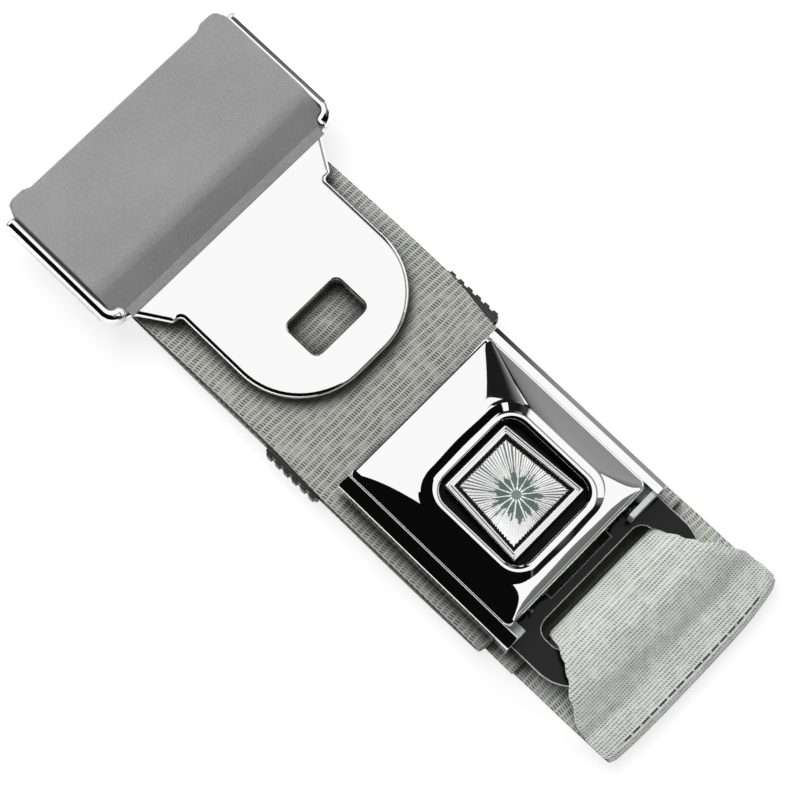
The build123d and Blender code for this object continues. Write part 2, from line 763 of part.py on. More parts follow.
# Pivot pin
with BuildPart() as pivot_pin:
    with BuildSketch(Plane.XZ):
        with Locations((pivot_x, pivot_z)):
            Circle(pivot_radius)
    extrude(amount=ear_y + ear_thick / 2, both=True)
    chamfer(pivot_pin.edges(), pin_edge)
pivot_pin.part.label = "pivot_pin"
export_step(pivot_pin.part, "parts/pivot_pin.step")

# Latch springs: a coil round the pin at each end of the knuckle
coil_run = latch_half - knuckle_half - 4 * spring_wire
latch_coils = [
    spring(
        (pivot_x, side * (knuckle_half + latch_half) / 2 - coil_run / 2, pivot_z),
        coil_run,
        pivot_radius + 1.6 * spring_wire,
        2,
        along=(0, 1, 0),
    )
    for side in (1, -1)
]
with BuildPart() as latch_springs:
    add(latch_coils)
latch_springs.part.label = "latch_springs"
export_step(latch_springs.part, "parts/latch_springs.step")

# Push button: tapered block with a plunger that reaches down to the tooth
with BuildPart() as push_button:
    extrude(button_outline(core_inset, core_z), amount=button_thick / 2)
    with BuildSketch(Plane.XY.offset(tooth_top + plunger_gap)):
        with Locations(((plunger_front_x + plunger_rear_x) / 2, 0)):
            Rectangle(plunger_rear_x - plunger_front_x, 2 * plunger_half)
    extrude(amount=core_z - tooth_top - plunger_gap)
push_button.part.label = "push_button"
export_step(push_button.part, "parts/push_button.step")

# Button trim: a stepped frame round the block's upper edge
with BuildPart() as button_trim:
    extrude(button_outline(0, core_z + trim_low), amount=button_thick - trim_low - trim_drop)
    extrude(
        button_outline(button_border * trim_ridge, core_z + trim_low), amount=button_thick - trim_low
    )
    extrude(button_outline(button_border, core_z), amount=button_thick, mode=Mode.SUBTRACT)
    extrude(button_outline(core_inset, core_z), amount=button_thick / 2, mode=Mode.SUBTRACT)
button_trim.part.label = "button_trim"
export_step(button_trim.part, "parts/button_trim.step")

# Button insert: the bright plate in the middle of the trim
with BuildPart() as button_insert:
    extrude(button_outline(button_border, core_z + button_thick / 2), amount=insert_thick)
button_insert.part.label = "button_insert"
export_step(button_insert.part, "parts/button_insert.step")

# Button springs: a coil on each side of the tray's rear half
coil_z = tray_z + tray_floor + 2 * spring_wire
button_coils = [
    spring(
        (button_rear_x - button_coil_in, side * button_coil_y, coil_z),
        core_z - 2 * spring_wire - coil_z,
        button_coil_radius,
        3,
    )
    for side in (1, -1)
]
with BuildPart() as button_springs:
    add(button_coils)
button_springs.part.label = "button_springs"
export_step(button_springs.part, "parts/button_springs.step")

# Ejector: a bar across the channel on two short tails
ejector_z = floor_z + ejector_low
ejector_high = ceiling_z - ejector_play
with BuildPart() as ejector:
    with BuildSketch(Plane.XY.offset(ejector_z)):
        with Locations((ejector_x, 0)):
            Rectangle(ejector_bar, 2 * ejector_half, align=(Align.MIN, Align.CENTER))
        with Locations((ejector_x, 0)):
            with GridLocations(1, 2 * ejector_half - ejector_tail_thick, 1, 2):
                Rectangle(
                    ejector_bar + ejector_tail, ejector_tail_thick, align=(Align.MIN, Align.CENTER)
                )
    extrude(amount=ejector_high - ejector_z)
    fillet(ejector.edges().filter_by(Axis.Z), ejector_soft)
ejector.part.label = "ejector"
export_step(ejector.part, "parts/ejector.step")

# Ejector springs: two coils between the bar and the frame's tail end
coil_x = ejector_x + ejector_bar + 2 * spring_wire
coil_z = (ejector_z + ejector_high) / 2
ejector_coils = [
    spring(
        (coil_x, side * (ejector_half - ejector_coil_in), coil_z),
        opening_rear_x - coil_end - coil_x,
        ejector_coil_radius,
        8,
        along=(1, 0, 0),
    )
    for side in (1, -1)
]
with BuildPart() as ejector_springs:
    add(ejector_coils)
ejector_springs.part.label = "ejector_springs"
export_step(ejector_springs.part, "parts/ejector_springs.step")

# Buckle webbing: gathered through the slot, round the frame's tail bar and out to the rear fold
fold_top = layer_1 + mid + 2 * rear_fold_r
bar_low = frame_z - frame_gap - mid
rise_x = slot_rear_x - slot_in - mid
hump_z = frame_top + hump_clear + mid
loop = ribbon(
    (rear_fold_x, fold_top),
    (rear_fold_x - loop_first_bend, bar_low - loop_bend_drop),
    (frame_rear_x - loop_over, hump_z - hump_fall),
    (slot_rear_x + loop_over, hump_z + hump_fall),
    (rise_x, frame_top + loop_rise),
    (rise_x, bar_low),
    (frame_rear_x + loop_over, bar_low),
    (rear_fold_x - loop_end_in, fold_top - loop_end_drop),
    radius=loop_bends,
)
with BuildPart() as buckle_strap:
    extrude(loop, amount=webbing_width / 2, both=True)
    with BuildSketch(Plane.XY):
        with BuildLine():
            edge = Polyline(
                (slot_front_x, 0),
                (slot_front_x, slot_half - 0.5),
                (slot_rear_x, slot_half - 0.5),
                (frame_rear_x + 4, webbing_width / 2),
                (rear_fold_x + 1, webbing_width / 2),
                (rear_fold_x + 1, 0),
            )
            mirror(edge, about=Plane.XZ)
        make_face()
    extrude(amount=40, mode=Mode.INTERSECT)
buckle_strap.part.label = "buckle_strap"
export_step(buckle_strap.part, "parts/buckle_strap.step")
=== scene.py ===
import math

import bmesh
import bpy
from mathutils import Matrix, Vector


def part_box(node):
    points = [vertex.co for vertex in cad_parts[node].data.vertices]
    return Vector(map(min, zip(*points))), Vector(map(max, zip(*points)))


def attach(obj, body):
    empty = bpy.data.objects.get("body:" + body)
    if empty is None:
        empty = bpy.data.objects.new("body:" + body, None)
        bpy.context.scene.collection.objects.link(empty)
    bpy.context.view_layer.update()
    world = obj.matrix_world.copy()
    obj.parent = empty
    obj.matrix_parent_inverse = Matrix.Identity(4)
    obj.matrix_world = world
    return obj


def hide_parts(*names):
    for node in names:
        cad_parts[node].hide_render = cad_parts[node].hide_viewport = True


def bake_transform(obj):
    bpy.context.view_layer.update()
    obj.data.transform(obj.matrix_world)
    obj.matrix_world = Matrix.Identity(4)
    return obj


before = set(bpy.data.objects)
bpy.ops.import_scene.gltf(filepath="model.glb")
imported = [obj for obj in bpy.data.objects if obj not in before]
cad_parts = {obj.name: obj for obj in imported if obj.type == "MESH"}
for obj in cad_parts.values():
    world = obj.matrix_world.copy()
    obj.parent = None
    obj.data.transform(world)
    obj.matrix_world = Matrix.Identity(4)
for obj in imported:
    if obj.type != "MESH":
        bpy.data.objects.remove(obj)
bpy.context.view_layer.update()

mm = 0.001
touch = 0.01  # places this close, in millimetres, count as one
past = 1.0  # how far a cutter goes beyond what it cuts


def nodeBox(name):  # a CAD node's corners, in millimetres
    low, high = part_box(name)
    return low / mm, high / mm


def clearSelection():
    if bpy.context.mode != "OBJECT":
        bpy.ops.object.mode_set(mode="OBJECT")
    bpy.ops.object.select_all(action="DESELECT")


def pickPiece(piece):
    clearSelection()
    piece.select_set(True)
    bpy.context.view_layer.objects.active = piece


def openMesh(piece, choice="DESELECT"):
    pickPiece(piece)
    bpy.ops.object.mode_set(mode="EDIT")
    bpy.ops.mesh.select_all(action=choice)
    return bmesh.from_edit_mesh(piece.data)


def closeMesh(piece):
    bmesh.update_edit_mesh(piece.data)
    bpy.ops.object.mode_set(mode="OBJECT")


def selectEdges(piece, test):
    mesh = openMesh(piece)
    bpy.ops.mesh.select_mode(type="EDGE")
    for edge in mesh.edges:
        first, second = (vertex.co / mm for vertex in edge.verts)
        edge.select_set(test(first, second))
    bmesh.update_edit_mesh(piece.data)


def bevelEdges(piece, test, width, segments, **options):
    selectEdges(piece, test)
    bpy.ops.mesh.bevel(offset=width * mm, segments=segments, affect="EDGES", **options)
    closeMesh(piece)


def moveEdges(piece, test, shift):
    selectEdges(piece, test)
    bpy.ops.transform.translate(value=Vector(shift) * mm)
    closeMesh(piece)


def applyModifier(piece, kind, **settings):
    pickPiece(piece)
    modifier = piece.modifiers.new(kind, kind)
    for key, value in settings.items():
        setattr(modifier, key, value)
    bpy.ops.object.modifier_apply(modifier=modifier.name)


def turnOutwards(piece):
    openMesh(piece, "SELECT")
    bpy.ops.mesh.remove_doubles(threshold=0.000002)
    bpy.ops.mesh.normals_make_consistent(inside=False)
    closeMesh(piece)


def smoothShade(piece, angle=40):
    pickPiece(piece)
    bpy.ops.object.shade_smooth_by_angle(angle=math.radians(angle))
    applyModifier(piece, "WEIGHTED_NORMAL", keep_sharp=True)


def rollEdges(piece, width, segments=3, angle=35, clamp=False, material=-1):
    applyModifier(
        piece,
        "BEVEL",
        width=width * mm,
        segments=segments,
        limit_method="ANGLE",
        angle_limit=math.radians(angle),
        use_clamp_overlap=clamp,
        material=material,
    )


def newObject(name, operator, **options):
    clearSelection()
    operator(**options)
    bpy.context.object.name = name
    return bpy.context.object


def addBox(name, low, high):
    middle = (Vector(low) + Vector(high)) / 2 * mm
    box = newObject(name, bpy.ops.mesh.primitive_cube_add, size=1, location=middle)
    box.scale = (Vector(high) - Vector(low)) * mm
    bpy.ops.object.transform_apply(location=True, rotation=True, scale=True)
    return box


def cutAway(piece, cutter):
    applyModifier(piece, "BOOLEAN", object=cutter, operation="DIFFERENCE", solver="EXACT")
    bpy.data.objects.remove(cutter)


def cutBox(piece, low, high, corner):
    # takes away a box whose upright edges are rounded
    cutter = addBox("cutter", low, high)
    bevelEdges(cutter, lambda a, b: abs(a.z - b.z) > touch, corner, 8)
    cutAway(piece, cutter)


def joinPieces(name, pieces):
    clearSelection()
    for piece in pieces:
        piece.select_set(True)
    bpy.context.view_layer.objects.active = pieces[0]
    bpy.ops.object.join()
    pieces[0].name = name
    pieces[0].data.name = name
    return pieces[0]


def coat(piece, *materials):
    piece.data.materials.clear()
    for material in materials:
        piece.data.materials.append(material)


def dress(piece, material, slot, body=None, *replaced):
    coat(piece, material)
    if body:
        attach(piece, body)
    if replaced:
        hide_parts(*replaced)
    print(piece.name, "done")


def ease(share):
    return share * share * (3 - 2 * share)


def roundedLine(corners, closed=False, turnStep=7.0):
    # corners are (x, y, radius), and each becomes an arc
    count = len(corners)
    line = []
    for index, (x, y, radius) in enumerate(corners):
        here = Vector((x, y))
        if not closed and index in (0, count - 1):
            line.append(here)
            continue
        came = (here - Vector(corners[index - 1][:2])).normalized()
        goes = (Vector(corners[(index + 1) % count][:2]) - here).normalized()
        turn = math.atan2(came.x * goes.y - came.y * goes.x, came.dot(goes))
        if abs(turn) < touch or radius < touch:
            line.append(here)
            continue
        start = here - came * radius * math.tan(abs(turn) / 2)
        side = 1 if turn > 0 else -1
        middle = start + Vector((-came.y, came.x)) * side * radius
        arm = start - middle
        steps = max(2, math.ceil(abs(math.degrees(turn)) / turnStep))
        for step in range(steps + 1):
            spin = turn * step / steps
            cosine, sine = math.cos(spin), math.sin(spin)
            line.append(middle + Vector((arm.x * cosine - arm.y * sine, arm.x * sine + arm.y * cosine)))
    return line


def mirroredLine(half, centre=0.0, turnStep=5.0):
    # a closed outline from its +Y half, named from rear to front
    upper = [(x, centre + y, radius) for x, y, radius in half]
    lower = [(x, centre - y, radius) for x, y, radius in reversed(half)]
    return roundedLine(upper + lower, closed=True, turnStep=turnStep)


def layRing(name, ring, fill):
    # a circle whose rim is laid along a ring of points
    circle = bpy.ops.mesh.primitive_circle_add
    piece = newObject(name, circle, vertices=len(ring), radius=1, fill_type=fill)
    for vertex, place in zip(piece.data.vertices, ring):
        vertex.co = place * mm
    return piece


def pullRing(name, ring, shift):
    # a flat outline pulled along shift
    piece = layRing(name, ring, "NGON")
    openMesh(piece, "SELECT")
    bpy.ops.mesh.extrude_region_move(TRANSFORM_OT_translate={"value": Vector(shift) * mm})
    closeMesh(piece)
    turnOutwards(piece)
    return piece


def outlinePlate(name, line, low, high):
    return pullRing(name, [Vector((p.x, p.y, low)) for p in line], (0, 0, high - low))


def ringStack(name, rings, capLast=False):
    # the first ring is pulled out again and again, each time onto the next ring
    piece = layRing(name, rings[0], "NOTHING")
    order = piece.data.attributes.new("order", "INT", "POINT")
    for index in range(len(rings[0])):
        order.data[index].value = index
    selectEdges(piece, lambda a, b: True)
    for ring in rings[1:]:
        bpy.ops.mesh.extrude_edges_move()
        mesh = bmesh.from_edit_mesh(piece.data)
        order = mesh.verts.layers.int["order"]
        for vertex in [v for v in mesh.verts if v.select]:
            vertex.co = ring[vertex[order]] * mm
        bmesh.update_edit_mesh(piece.data)
    if capLast:
        bpy.ops.mesh.edge_face_add()
    closeMesh(piece)
    piece.data.attributes.remove(piece.data.attributes["order"])
    return piece


def newMaterial(name, colour, roughness, metallic=0.0):
    material = bpy.data.materials.new(name)
    material.use_nodes = True
    shader = material.node_tree.nodes["Principled BSDF"]
    shader.inputs["Base Color"].default_value = (*colour, 1)
    feed(shader, "Roughness", roughness)
    feed(shader, "Metallic", metallic)
    return material, shader


def addNode(owner, kind, **settings):
    # owner is a material, a world, or any node or socket in one
    tree = getattr(owner, "node_tree", None) or owner.id_data
    node = tree.nodes.new("ShaderNode" + kind)
    for key, value in settings.items():
        if key in node.inputs:
            node.inputs[key].default_value = value
        else:
            setattr(node, key, value)
    return node


def feed(node, name, value):
    # value is another node's socket, a colour or a number
    socket = node.inputs[name]
    if isinstance(value, bpy.types.NodeSocket):
        value.id_data.links.new(value, socket)
    elif isinstance(value, tuple):
        socket.default_value = (*value, 1)
    else:
        socket.default_value = value


def work(operation, *values):
    linked = next(value for value in values if isinstance(value, bpy.types.NodeSocket))
    node = addNode(linked, "Math", operation=operation)
    for index, value in enumerate(values):
        feed(node, index, value)
    return node.outputs[0]


def times(first, second):
    return work("MULTIPLY", first, second)


def mixColours(factor, first, second):
    node = addNode(factor, "Mix", data_type="RGBA")
    feed(node, 0, factor)
    feed(node, 6, first)
    feed(node, 7, second)
    return node.outputs[2]


def mixNumbers(factor, first, second):
    return work("MULTIPLY_ADD", factor, work("SUBTRACT", second, first), first)


def spread(value, low, high, start=0.0, end=1.0):
    # eases from low to high as value goes from start to end
    node = addNode(value, "MapRange", interpolation_type="SMOOTHSTEP")
    for index, number in enumerate((value, start, end, low, high)):
        feed(node, index, number)
    return node.outputs["Result"]


def objectNoise(material, size, detail=2.0, roughness=0.5):
    place = addNode(material, "TexCoord")
    noise = addNode(material, "TexNoise", Scale=1 / (size * mm), Detail=detail, Roughness=roughness)
    feed(noise, "Vector", place.outputs["Object"])
    return noise.outputs["Fac"]


def mapParts(material, name):
    # the two parts of a UV map that a piece carries
    uv = addNode(material, "UVMap", uv_map=name)
    split = addNode(material, "SeparateXYZ")
    feed(split, "Vector", uv.outputs["UV"])
    return split.outputs["X"], split.outputs["Y"]


def addBump(shader, height, distance, strength=1.0):
    bump = addNode(shader, "Bump", Strength=strength, Distance=distance * mm)
    feed(bump, "Height", height)
    feed(shader, "Normal", bump.outputs["Normal"])


chromeFinish = {
    "colour": (0.94, 0.945, 0.94), "rough": (0.01, 0.035),
    "cloud": (6.0, 4.0, 0.6),  # the noise's size, detail and roughness
    "rippleSize": 9.0, "ripple": 0.0012,
}


def makeChrome():
    finish = chromeFinish
    material, shader = newMaterial("polishedChrome", finish["colour"], roughness=0.03, metallic=1.0)
    feed(shader, "Roughness", spread(objectNoise(material, *finish["cloud"]), *finish["rough"]))
    ripple = objectNoise(material, finish["rippleSize"], detail=1.0)
    addBump(shader, ripple, finish["ripple"], strength=0.6)
    return material


grainFinish = {
    "dark": (0.185, 0.185, 0.187), "light": (0.245, 0.245, 0.245), "size": 0.42, "depth": 0.1,
    "cloudSize": 11.0, "cloudShare": 0.25, "toneBand": (0.35, 0.65), "rough": (0.48, 0.66),
    "roughBand": (0.3, 0.7),
}


def makeGrain():
    finish = grainFinish
    material, shader = newMaterial("grainedPlastic", finish["dark"], roughness=0.55)
    grain = objectNoise(material, finish["size"], detail=3.0, roughness=0.55)
    cloud = times(objectNoise(material, finish["cloudSize"]), finish["cloudShare"])
    mottle = work("MULTIPLY_ADD", grain, 1 - finish["cloudShare"], cloud)
    tone = mixColours(spread(mottle, 0, 1, *finish["toneBand"]), finish["dark"], finish["light"])
    feed(shader, "Base Color", tone)
    feed(shader, "Roughness", spread(grain, *finish["rough"], *finish["roughBand"]))
    addBump(shader, grain, finish["depth"], strength=0.8)
    return material


gloss = {"wear": (3.0, 5.0, 0.65), "wearBand": (0.3, 0.7), "depth": 0.004}


def makeGloss(name, colour, low, high, speckle=0.25, metallic=0.0, specular=0.5):
    material, shader = newMaterial(name, colour, low, metallic)
    feed(shader, "Specular IOR Level", specular)
    wear = objectNoise(material, *gloss["wear"])
    feed(shader, "Roughness", spread(wear, low, high, *gloss["wearBand"]))
    addBump(shader, objectNoise(material, speckle), gloss["depth"], strength=0.5)
    return material


weave = {
    "row": 1.4,
    "dashes": ((0.2, 0.6), (0.5, 0.95)),  # where a dark dash fades in, along and across
    "fineRow": 0.75,  # where the cloth is stretched over the bar
    "fineDashes": ((0.3, 0.9), (0.3, 0.95)), "yarn": 0.55, "slant": 0.5, "drift": 0.7, "driftSize": 9.0,
    "barBand": (1, 0, 0.1, 0.6), "barShare": 0.5, "base": (0.345, 0.352, 0.322),
    # the pale colours below are painted light: the rear loop's cloth shown as if more brightly lit
    "bar": (0.40, 0.407, 0.374), "gap": (0.045, 0.048, 0.041), "paintedLitBase": (0.57, 0.60, 0.56),
    "paintedLitBar": (0.72, 0.75, 0.71), "paintedLitGap": (0.22, 0.245, 0.22), "cloudSize": 6.0,
    "cloud": (0.72, 1, 0.35, 0.6), "patchNoise": (2.2, 4.0, 0.7), "patch": (0.3, 1.0, 0.3, 0.62),
    "depth": 0.2, "barHeight": 0.35, "shadeReach": 7.5, "shade": (0.08, 1.0, 0.46, 0.87),
    "unlit": (0.012, 0.012, 0.011), "sheen": 0.2, "sheenRough": 0.4,
}
stitching = {"half": 0.16, "pitch": 2.4, "share": 0.78, "reach": 19.0, "colour": (0.045, 0.047, 0.043)}


def addWeave(material, across, along, pitch, dashBands):
    drift = times(objectNoise(material, weave["driftSize"]), weave["drift"])
    rowPhase = work("FRACT", work("ADD", work("DIVIDE", along, pitch), drift))
    lean = times(rowPhase, weave["slant"])
    yarnPhase = work("FRACT", work("MULTIPLY_ADD", across, 1 / weave["yarn"], lean))
    rowShape = work("SINE", times(rowPhase, math.pi))
    yarnShape = work("SINE", times(yarnPhase, math.pi))
    ends, sides = dashBands
    dash = times(spread(rowShape, 0, 1, *ends), spread(yarnShape, 0, 1, *sides))
    return dash, times(spread(rowShape, *weave["barBand"]), weave["barShare"])


def makeWebbing(name, lift, paintedLightFrom=None, paintedLightTo=None, stitchAt=None):
    material, shader = newMaterial(name, weave["base"], roughness=0.62)
    across, along = mapParts(material, "cloth")
    dash, bars = addWeave(material, across, along, weave["row"], weave["dashes"])
    # painted light: lift scales every colour of this copy of the webbing, so that a copy lying in the
    # buckle's shade shows brighter
    base, bar, gap = (tuple(part * lift for part in weave[tone]) for tone in ("base", "bar", "gap"))
    # painted light: past the rear fold the cloth's colours turn paler and greener in soft clouds, standing in
    # for the light on the rear loop; the finer weave there is the cloth's own
    if paintedLightFrom is not None:
        reach = spread(along, 0, 1, paintedLightFrom, paintedLightTo)
        cloud = spread(objectNoise(material, weave["cloudSize"]), *weave["cloud"])
        paintedLight = times(reach, cloud)
        fineDash, fineBars = addWeave(material, across, along, weave["fineRow"], weave["fineDashes"])
        dash = mixNumbers(reach, dash, fineDash)
        bars = mixNumbers(reach, bars, fineBars)
        base = mixColours(paintedLight, base, weave["paintedLitBase"])
        bar = mixColours(paintedLight, bar, weave["paintedLitBar"])
        gap = mixColours(paintedLight, gap, weave["paintedLitGap"])
    patch = spread(objectNoise(material, *weave["patchNoise"]), *weave["patch"])
    dark = times(dash, patch)
    dark.node.use_clamp = True
    tone = mixColours(dark, mixColours(bars, base, bar), gap)
    if stitchAt is not None:
        near = work("COMPARE", along, stitchAt, stitching["half"])
        beat = work("FRACT", work("DIVIDE", across, stitching["pitch"]))
        inside = work("COMPARE", across, 0, stitching["reach"])
        thread = times(times(near, work("LESS_THAN", beat, stitching["share"])), inside)
        tone = mixColours(thread, tone, stitching["colour"])
    # cloth sunk under a plate or in a slot loses light
    cover = addNode(material, "AmbientOcclusion", samples=8)
    feed(cover, "Distance", weave["shadeReach"] * mm)
    tone = mixColours(spread(cover.outputs["AO"], *weave["shade"]), weave["unlit"], tone)
    feed(shader, "Base Color", tone)
    feed(shader, "Sheen Weight", weave["sheen"])
    feed(shader, "Sheen Roughness", weave["sheenRough"])
    crown = work("SUBTRACT", times(bars, weave["barHeight"]), dark)
    addBump(shader, crown, weave["depth"], strength=0.6)
    return material


cameraView = {
    "place": (0.073875, -0.076315, 0.436695), "azimuth": 43.73, "elevation": 76.25, "roll": 0.63,
    "lens": 103.14, "sensor": 36.0, "clip": (0.01, 20),
}


def addCamera():
    view = cameraView
    camera = newObject("studioCamera", bpy.ops.object.camera_add, location=view["place"])
    camera.rotation_euler = math.radians(90 - view["elevation"]), 0, math.radians(view["azimuth"])
    camera.rotation_euler.rotate_axis("Z", math.radians(view["roll"]))
    camera.data.lens = view["lens"]
    camera.data.sensor_width = view["sensor"]
    camera.data.clip_start, camera.data.clip_end = view["clip"]
    bpy.context.scene.camera = camera


stageLook = {
    "floorSize": 6.0, "floor": (0.86, 0.86, 0.86),
    # how much of the floor's white is its own, where the camera or polished metal sees it
    "seenWhite": 0.80, "polishedWhite": 0.3, "roomLevel": 0.42, "keyPower": 8.0,
    "keyPlace": (-0.32, 0.05, 0.8), "keySize": 0.6,
}


def addStage():
    look = stageLook
    bpy.context.scene.view_settings.view_transform = "Standard"
    world = bpy.data.worlds.new("whiteRoom")
    bpy.context.scene.world = world
    world.use_nodes = True
    path = addNode(world, "LightPath")
    seen = work("MAXIMUM", path.outputs["Is Camera Ray"], path.outputs["Is Glossy Ray"])
    sky = world.node_tree.nodes["Background"]
    feed(sky, "Color", (1, 1, 1))
    feed(sky, "Strength", spread(seen, look["roomLevel"], 1))

    floor = newObject("paleFloor", bpy.ops.mesh.primitive_plane_add, size=look["floorSize"])
    material, shader = newMaterial("paleFloor", look["floor"], roughness=0.8)
    feed(shader, "Specular IOR Level", 0.0)
    glow = addNode(material, "Emission")
    path = addNode(material, "LightPath")
    plain = times(path.outputs["Is Camera Ray"], look["seenWhite"])
    share = work("MULTIPLY_ADD", path.outputs["Is Glossy Ray"], look["polishedWhite"], plain)
    blend = addNode(material, "MixShader")
    feed(blend, "Fac", share)
    feed(blend, 1, shader.outputs["BSDF"])
    feed(blend, 2, glow.outputs["Emission"])
    feed(material.node_tree.nodes["Material Output"], "Surface", blend.outputs["Shader"])
    coat(floor, material)

    key = newObject("softKey", bpy.ops.object.light_add, type="AREA", location=look["keyPlace"])
    key.data.shape = "DISK"
    key.data.size = look["keySize"]
    key.data.energy = look["keyPower"]
    key.rotation_euler = (-key.location).to_track_quat("-Z", "Y").to_euler()
    key.visible_glossy = False


# boards that only polished metal sees: centre, facing, width, height, and greys from the lower edge up
studioCards = {
    "cameraSideCard": ((0, -0.12, 1.0), (0, 1, 0), 3.0, 1.96, ((0, 0.003), (1, 0.003))),
    "farEndCard": ((-0.9, -0.3, 0.325), (1, 0, 0), 2.0, 0.65, ((0, 0.003), (1, 0.003))),
    "nearEndCard": (
        (0.9, 0, 0.325), (-1, 0, 0), 2.4, 0.65, ((0, 0.003), (0.4, 0.01), (0.5, 0.14), (1, 0.18)),
    ),
    "cornerCard": ((-0.561, 0.674, 1.325), (0.639, -0.769, 0), 0.612, 1.65, ((0, 0.3), (1, 0.3))),
    "greyCard": (
        (0.25, 0.9, 0.75), (0, -1, 0), 2.2, 1.5,
        ((0, 1), (0.27, 1), (0.30, 0.2), (0.38, 0.27), (0.8, 0.31), (0.94, 0.2), (1, 0.12)),
    ),
}
# faint before the first share of the width, full after the second
cardFades = {"greyCard": (-0.208, -0.165), "cornerCard": (0.1, 0.5)}
faint = 0.04


def addCards():
    for name, (centre, facing, width, height, greys) in studioCards.items():
        card = newObject(name, bpy.ops.mesh.primitive_plane_add, size=1, location=centre)
        card.scale = (width, height, 1)
        card.rotation_euler = Vector(facing).to_track_quat("Z", "Y").to_euler()
        for ray in ("camera", "diffuse", "shadow", "transmission"):
            setattr(card, "visible_" + ray, False)
        material = bpy.data.materials.new(name)
        material.use_nodes = True
        material.node_tree.nodes.clear()
        out = addNode(material, "OutputMaterial")
        glow = addNode(material, "Emission")
        feed(out, "Surface", glow.outputs["Emission"])
        place = addNode(material, "TexCoord")
        split = addNode(material, "SeparateXYZ")
        feed(split, "Vector", place.outputs["Object"])
        ramp = addNode(material, "ValToRGB")
        feed(ramp, "Fac", work("ADD", split.outputs["Y"], 0.5))
        feed(glow, "Color", ramp.outputs["Color"])
        if name in cardFades:
            feed(glow, "Strength", spread(split.outputs["X"], faint, 1, *cardFades[name]))
        while len(ramp.color_ramp.elements) < len(greys):
            ramp.color_ramp.elements.new(0.5)
        for element, (position, grey) in zip(ramp.color_ramp.elements, greys):
            element.position = position
            element.color = (grey, grey, grey, 1)
        coat(card, material)


tonguePlate = {
    "centre": 0.8, "thick": 2.2, "edge": 0.9, "rearCorner": 1.0, "flangeFront": -47.2,
    "flangeCorner": 3.2, "neck": ((-47.2, 26.0, 2.8), (-40.1, 21.5, 1.0), (-39.9, 19.6, 1.0)),
    "bladeHalf": 19.6, "nose": -7.4, "noseRadius": 16.0,
    "window": (-24.25, -15.35, 7.0, 1.5),  # rear, front, half width, corner
    "slot": (-68.8, -59.2, 25.1, 1.5), "holeEdge": 0.45, "flangeLift": 0.02,
    "flangeTurn": 4.4,  # how far the flange turns in at its front
    "flangeCorners": (0.8, 0.9, 1.0),  # at the rear, at the turned end and inside the turn
    "flangeOuter": 1.25, "flangeInner": 0.4, "rampRun": 5.0, "rampDrop": 2.1,
}


def makeTonguePlate(chrome):
    size = tonguePlate
    low, high = nodeBox("tongue_plate")
    centre, thick = size["centre"], size["thick"]
    flangeHalf = high.y - centre
    top = low.z + thick
    front, corner = size["flangeFront"], size["flangeCorner"]
    half = [(low.x, flangeHalf, size["rearCorner"]), (front, flangeHalf, corner), *size["neck"]]
    half.append((size["nose"], size["bladeHalf"], size["noseRadius"]))
    plate = outlinePlate("blade", mirroredLine(half, centre), low.z, top)
    rollEdges(plate, size["edge"], 6, 50)
    for rear, ahead, reach, radius in (size["window"], size["slot"]):
        cutBox(plate, (rear, centre - reach, low.z - past), (ahead, centre + reach, top + past), radius)
    windowRear, windowFront, windowHalf = size["window"][:3]

    def onWindow(place):
        within = abs(place.y - centre) < windowHalf + touch
        return within and windowRear - touch < place.x < windowFront + touch and place.z > top - touch

    bevelEdges(plate, lambda a, b: onWindow(a) and onWindow(b), size["holeEdge"], 4)
    inner, end = flangeHalf - thick, flangeHalf - size["flangeTurn"]
    rearRadius, endRadius, innerRadius = size["flangeCorners"]
    wall = (
        (low.x, flangeHalf, rearRadius),
        (front, flangeHalf, corner),
        (front, end, endRadius),
        (front - thick, end, endRadius),
        (front - thick, inner, innerRadius),
        (low.x, inner, rearRadius),
    )

    def onOutside(place):
        y = abs(place.y - centre)
        along, across = place.x - front + corner, y - flangeHalf + corner
        turning = min(along, across) > 0 and math.hypot(along, across) > corner - 2 * touch
        return y > flangeHalf - touch or place.x > front - touch or turning

    def onRim(a, b):
        return min(a.z, b.z) > high.z - touch and onOutside(a) and onOutside(b)

    pieces = [plate]
    for side in (1, -1):
        line = roundedLine([(x, centre + side * y, r) for x, y, r in wall[::side]], closed=True, turnStep=6.0)
        flange = outlinePlate("flange", line, low.z + size["flangeLift"], high.z)
        bevelEdges(flange, onRim, size["flangeOuter"], 7)
        rollEdges(flange, size["flangeInner"], 4, 50)
        # the wall runs down towards the plate as it turns the front corner
        mesh = openMesh(flange)
        for vertex in mesh.verts:
            place = vertex.co / mm
            inset = flangeHalf - abs(place.y - centre) - thick
            run = max(0.0, place.x - front + corner) + max(0.0, inset)
            rise = max(0.0, (place.z - top) / (high.z - top))
            vertex.co.z -= size["rampDrop"] * ease(min(1.0, run / size["rampRun"])) * rise * mm
        closeMesh(flange)
        pieces.append(flange)
    plate = joinPieces("tonguePlateChromed", pieces)
    smoothShade(plate, 40)
    dress(plate, chrome, "bright_chrome", "tongue", "tongue_plate")


tongueCover = {
    "slope": 5.9, "lean": 0.4, "frontRadius": 3.4, "rearRadius": 1.5,
    "rearZone": 4.0,  # all that belongs to the rear is nearer to it than this
    "ear": 4.6, "earStep": 1.5, "recess": 0.75, "cornerRadius": 2.2, "cornerCuts": 3, "sideEdge": 0.5,
    "wall": 1.2,
    # the low strip in front of the parting line
    "footInset": 2.4, "footTuck": 1.0, "footSink": 0.05, "footWidth": 1.1, "footTall": 0.95,
    "footShort": 0.8, "footEdge": 0.12,
}


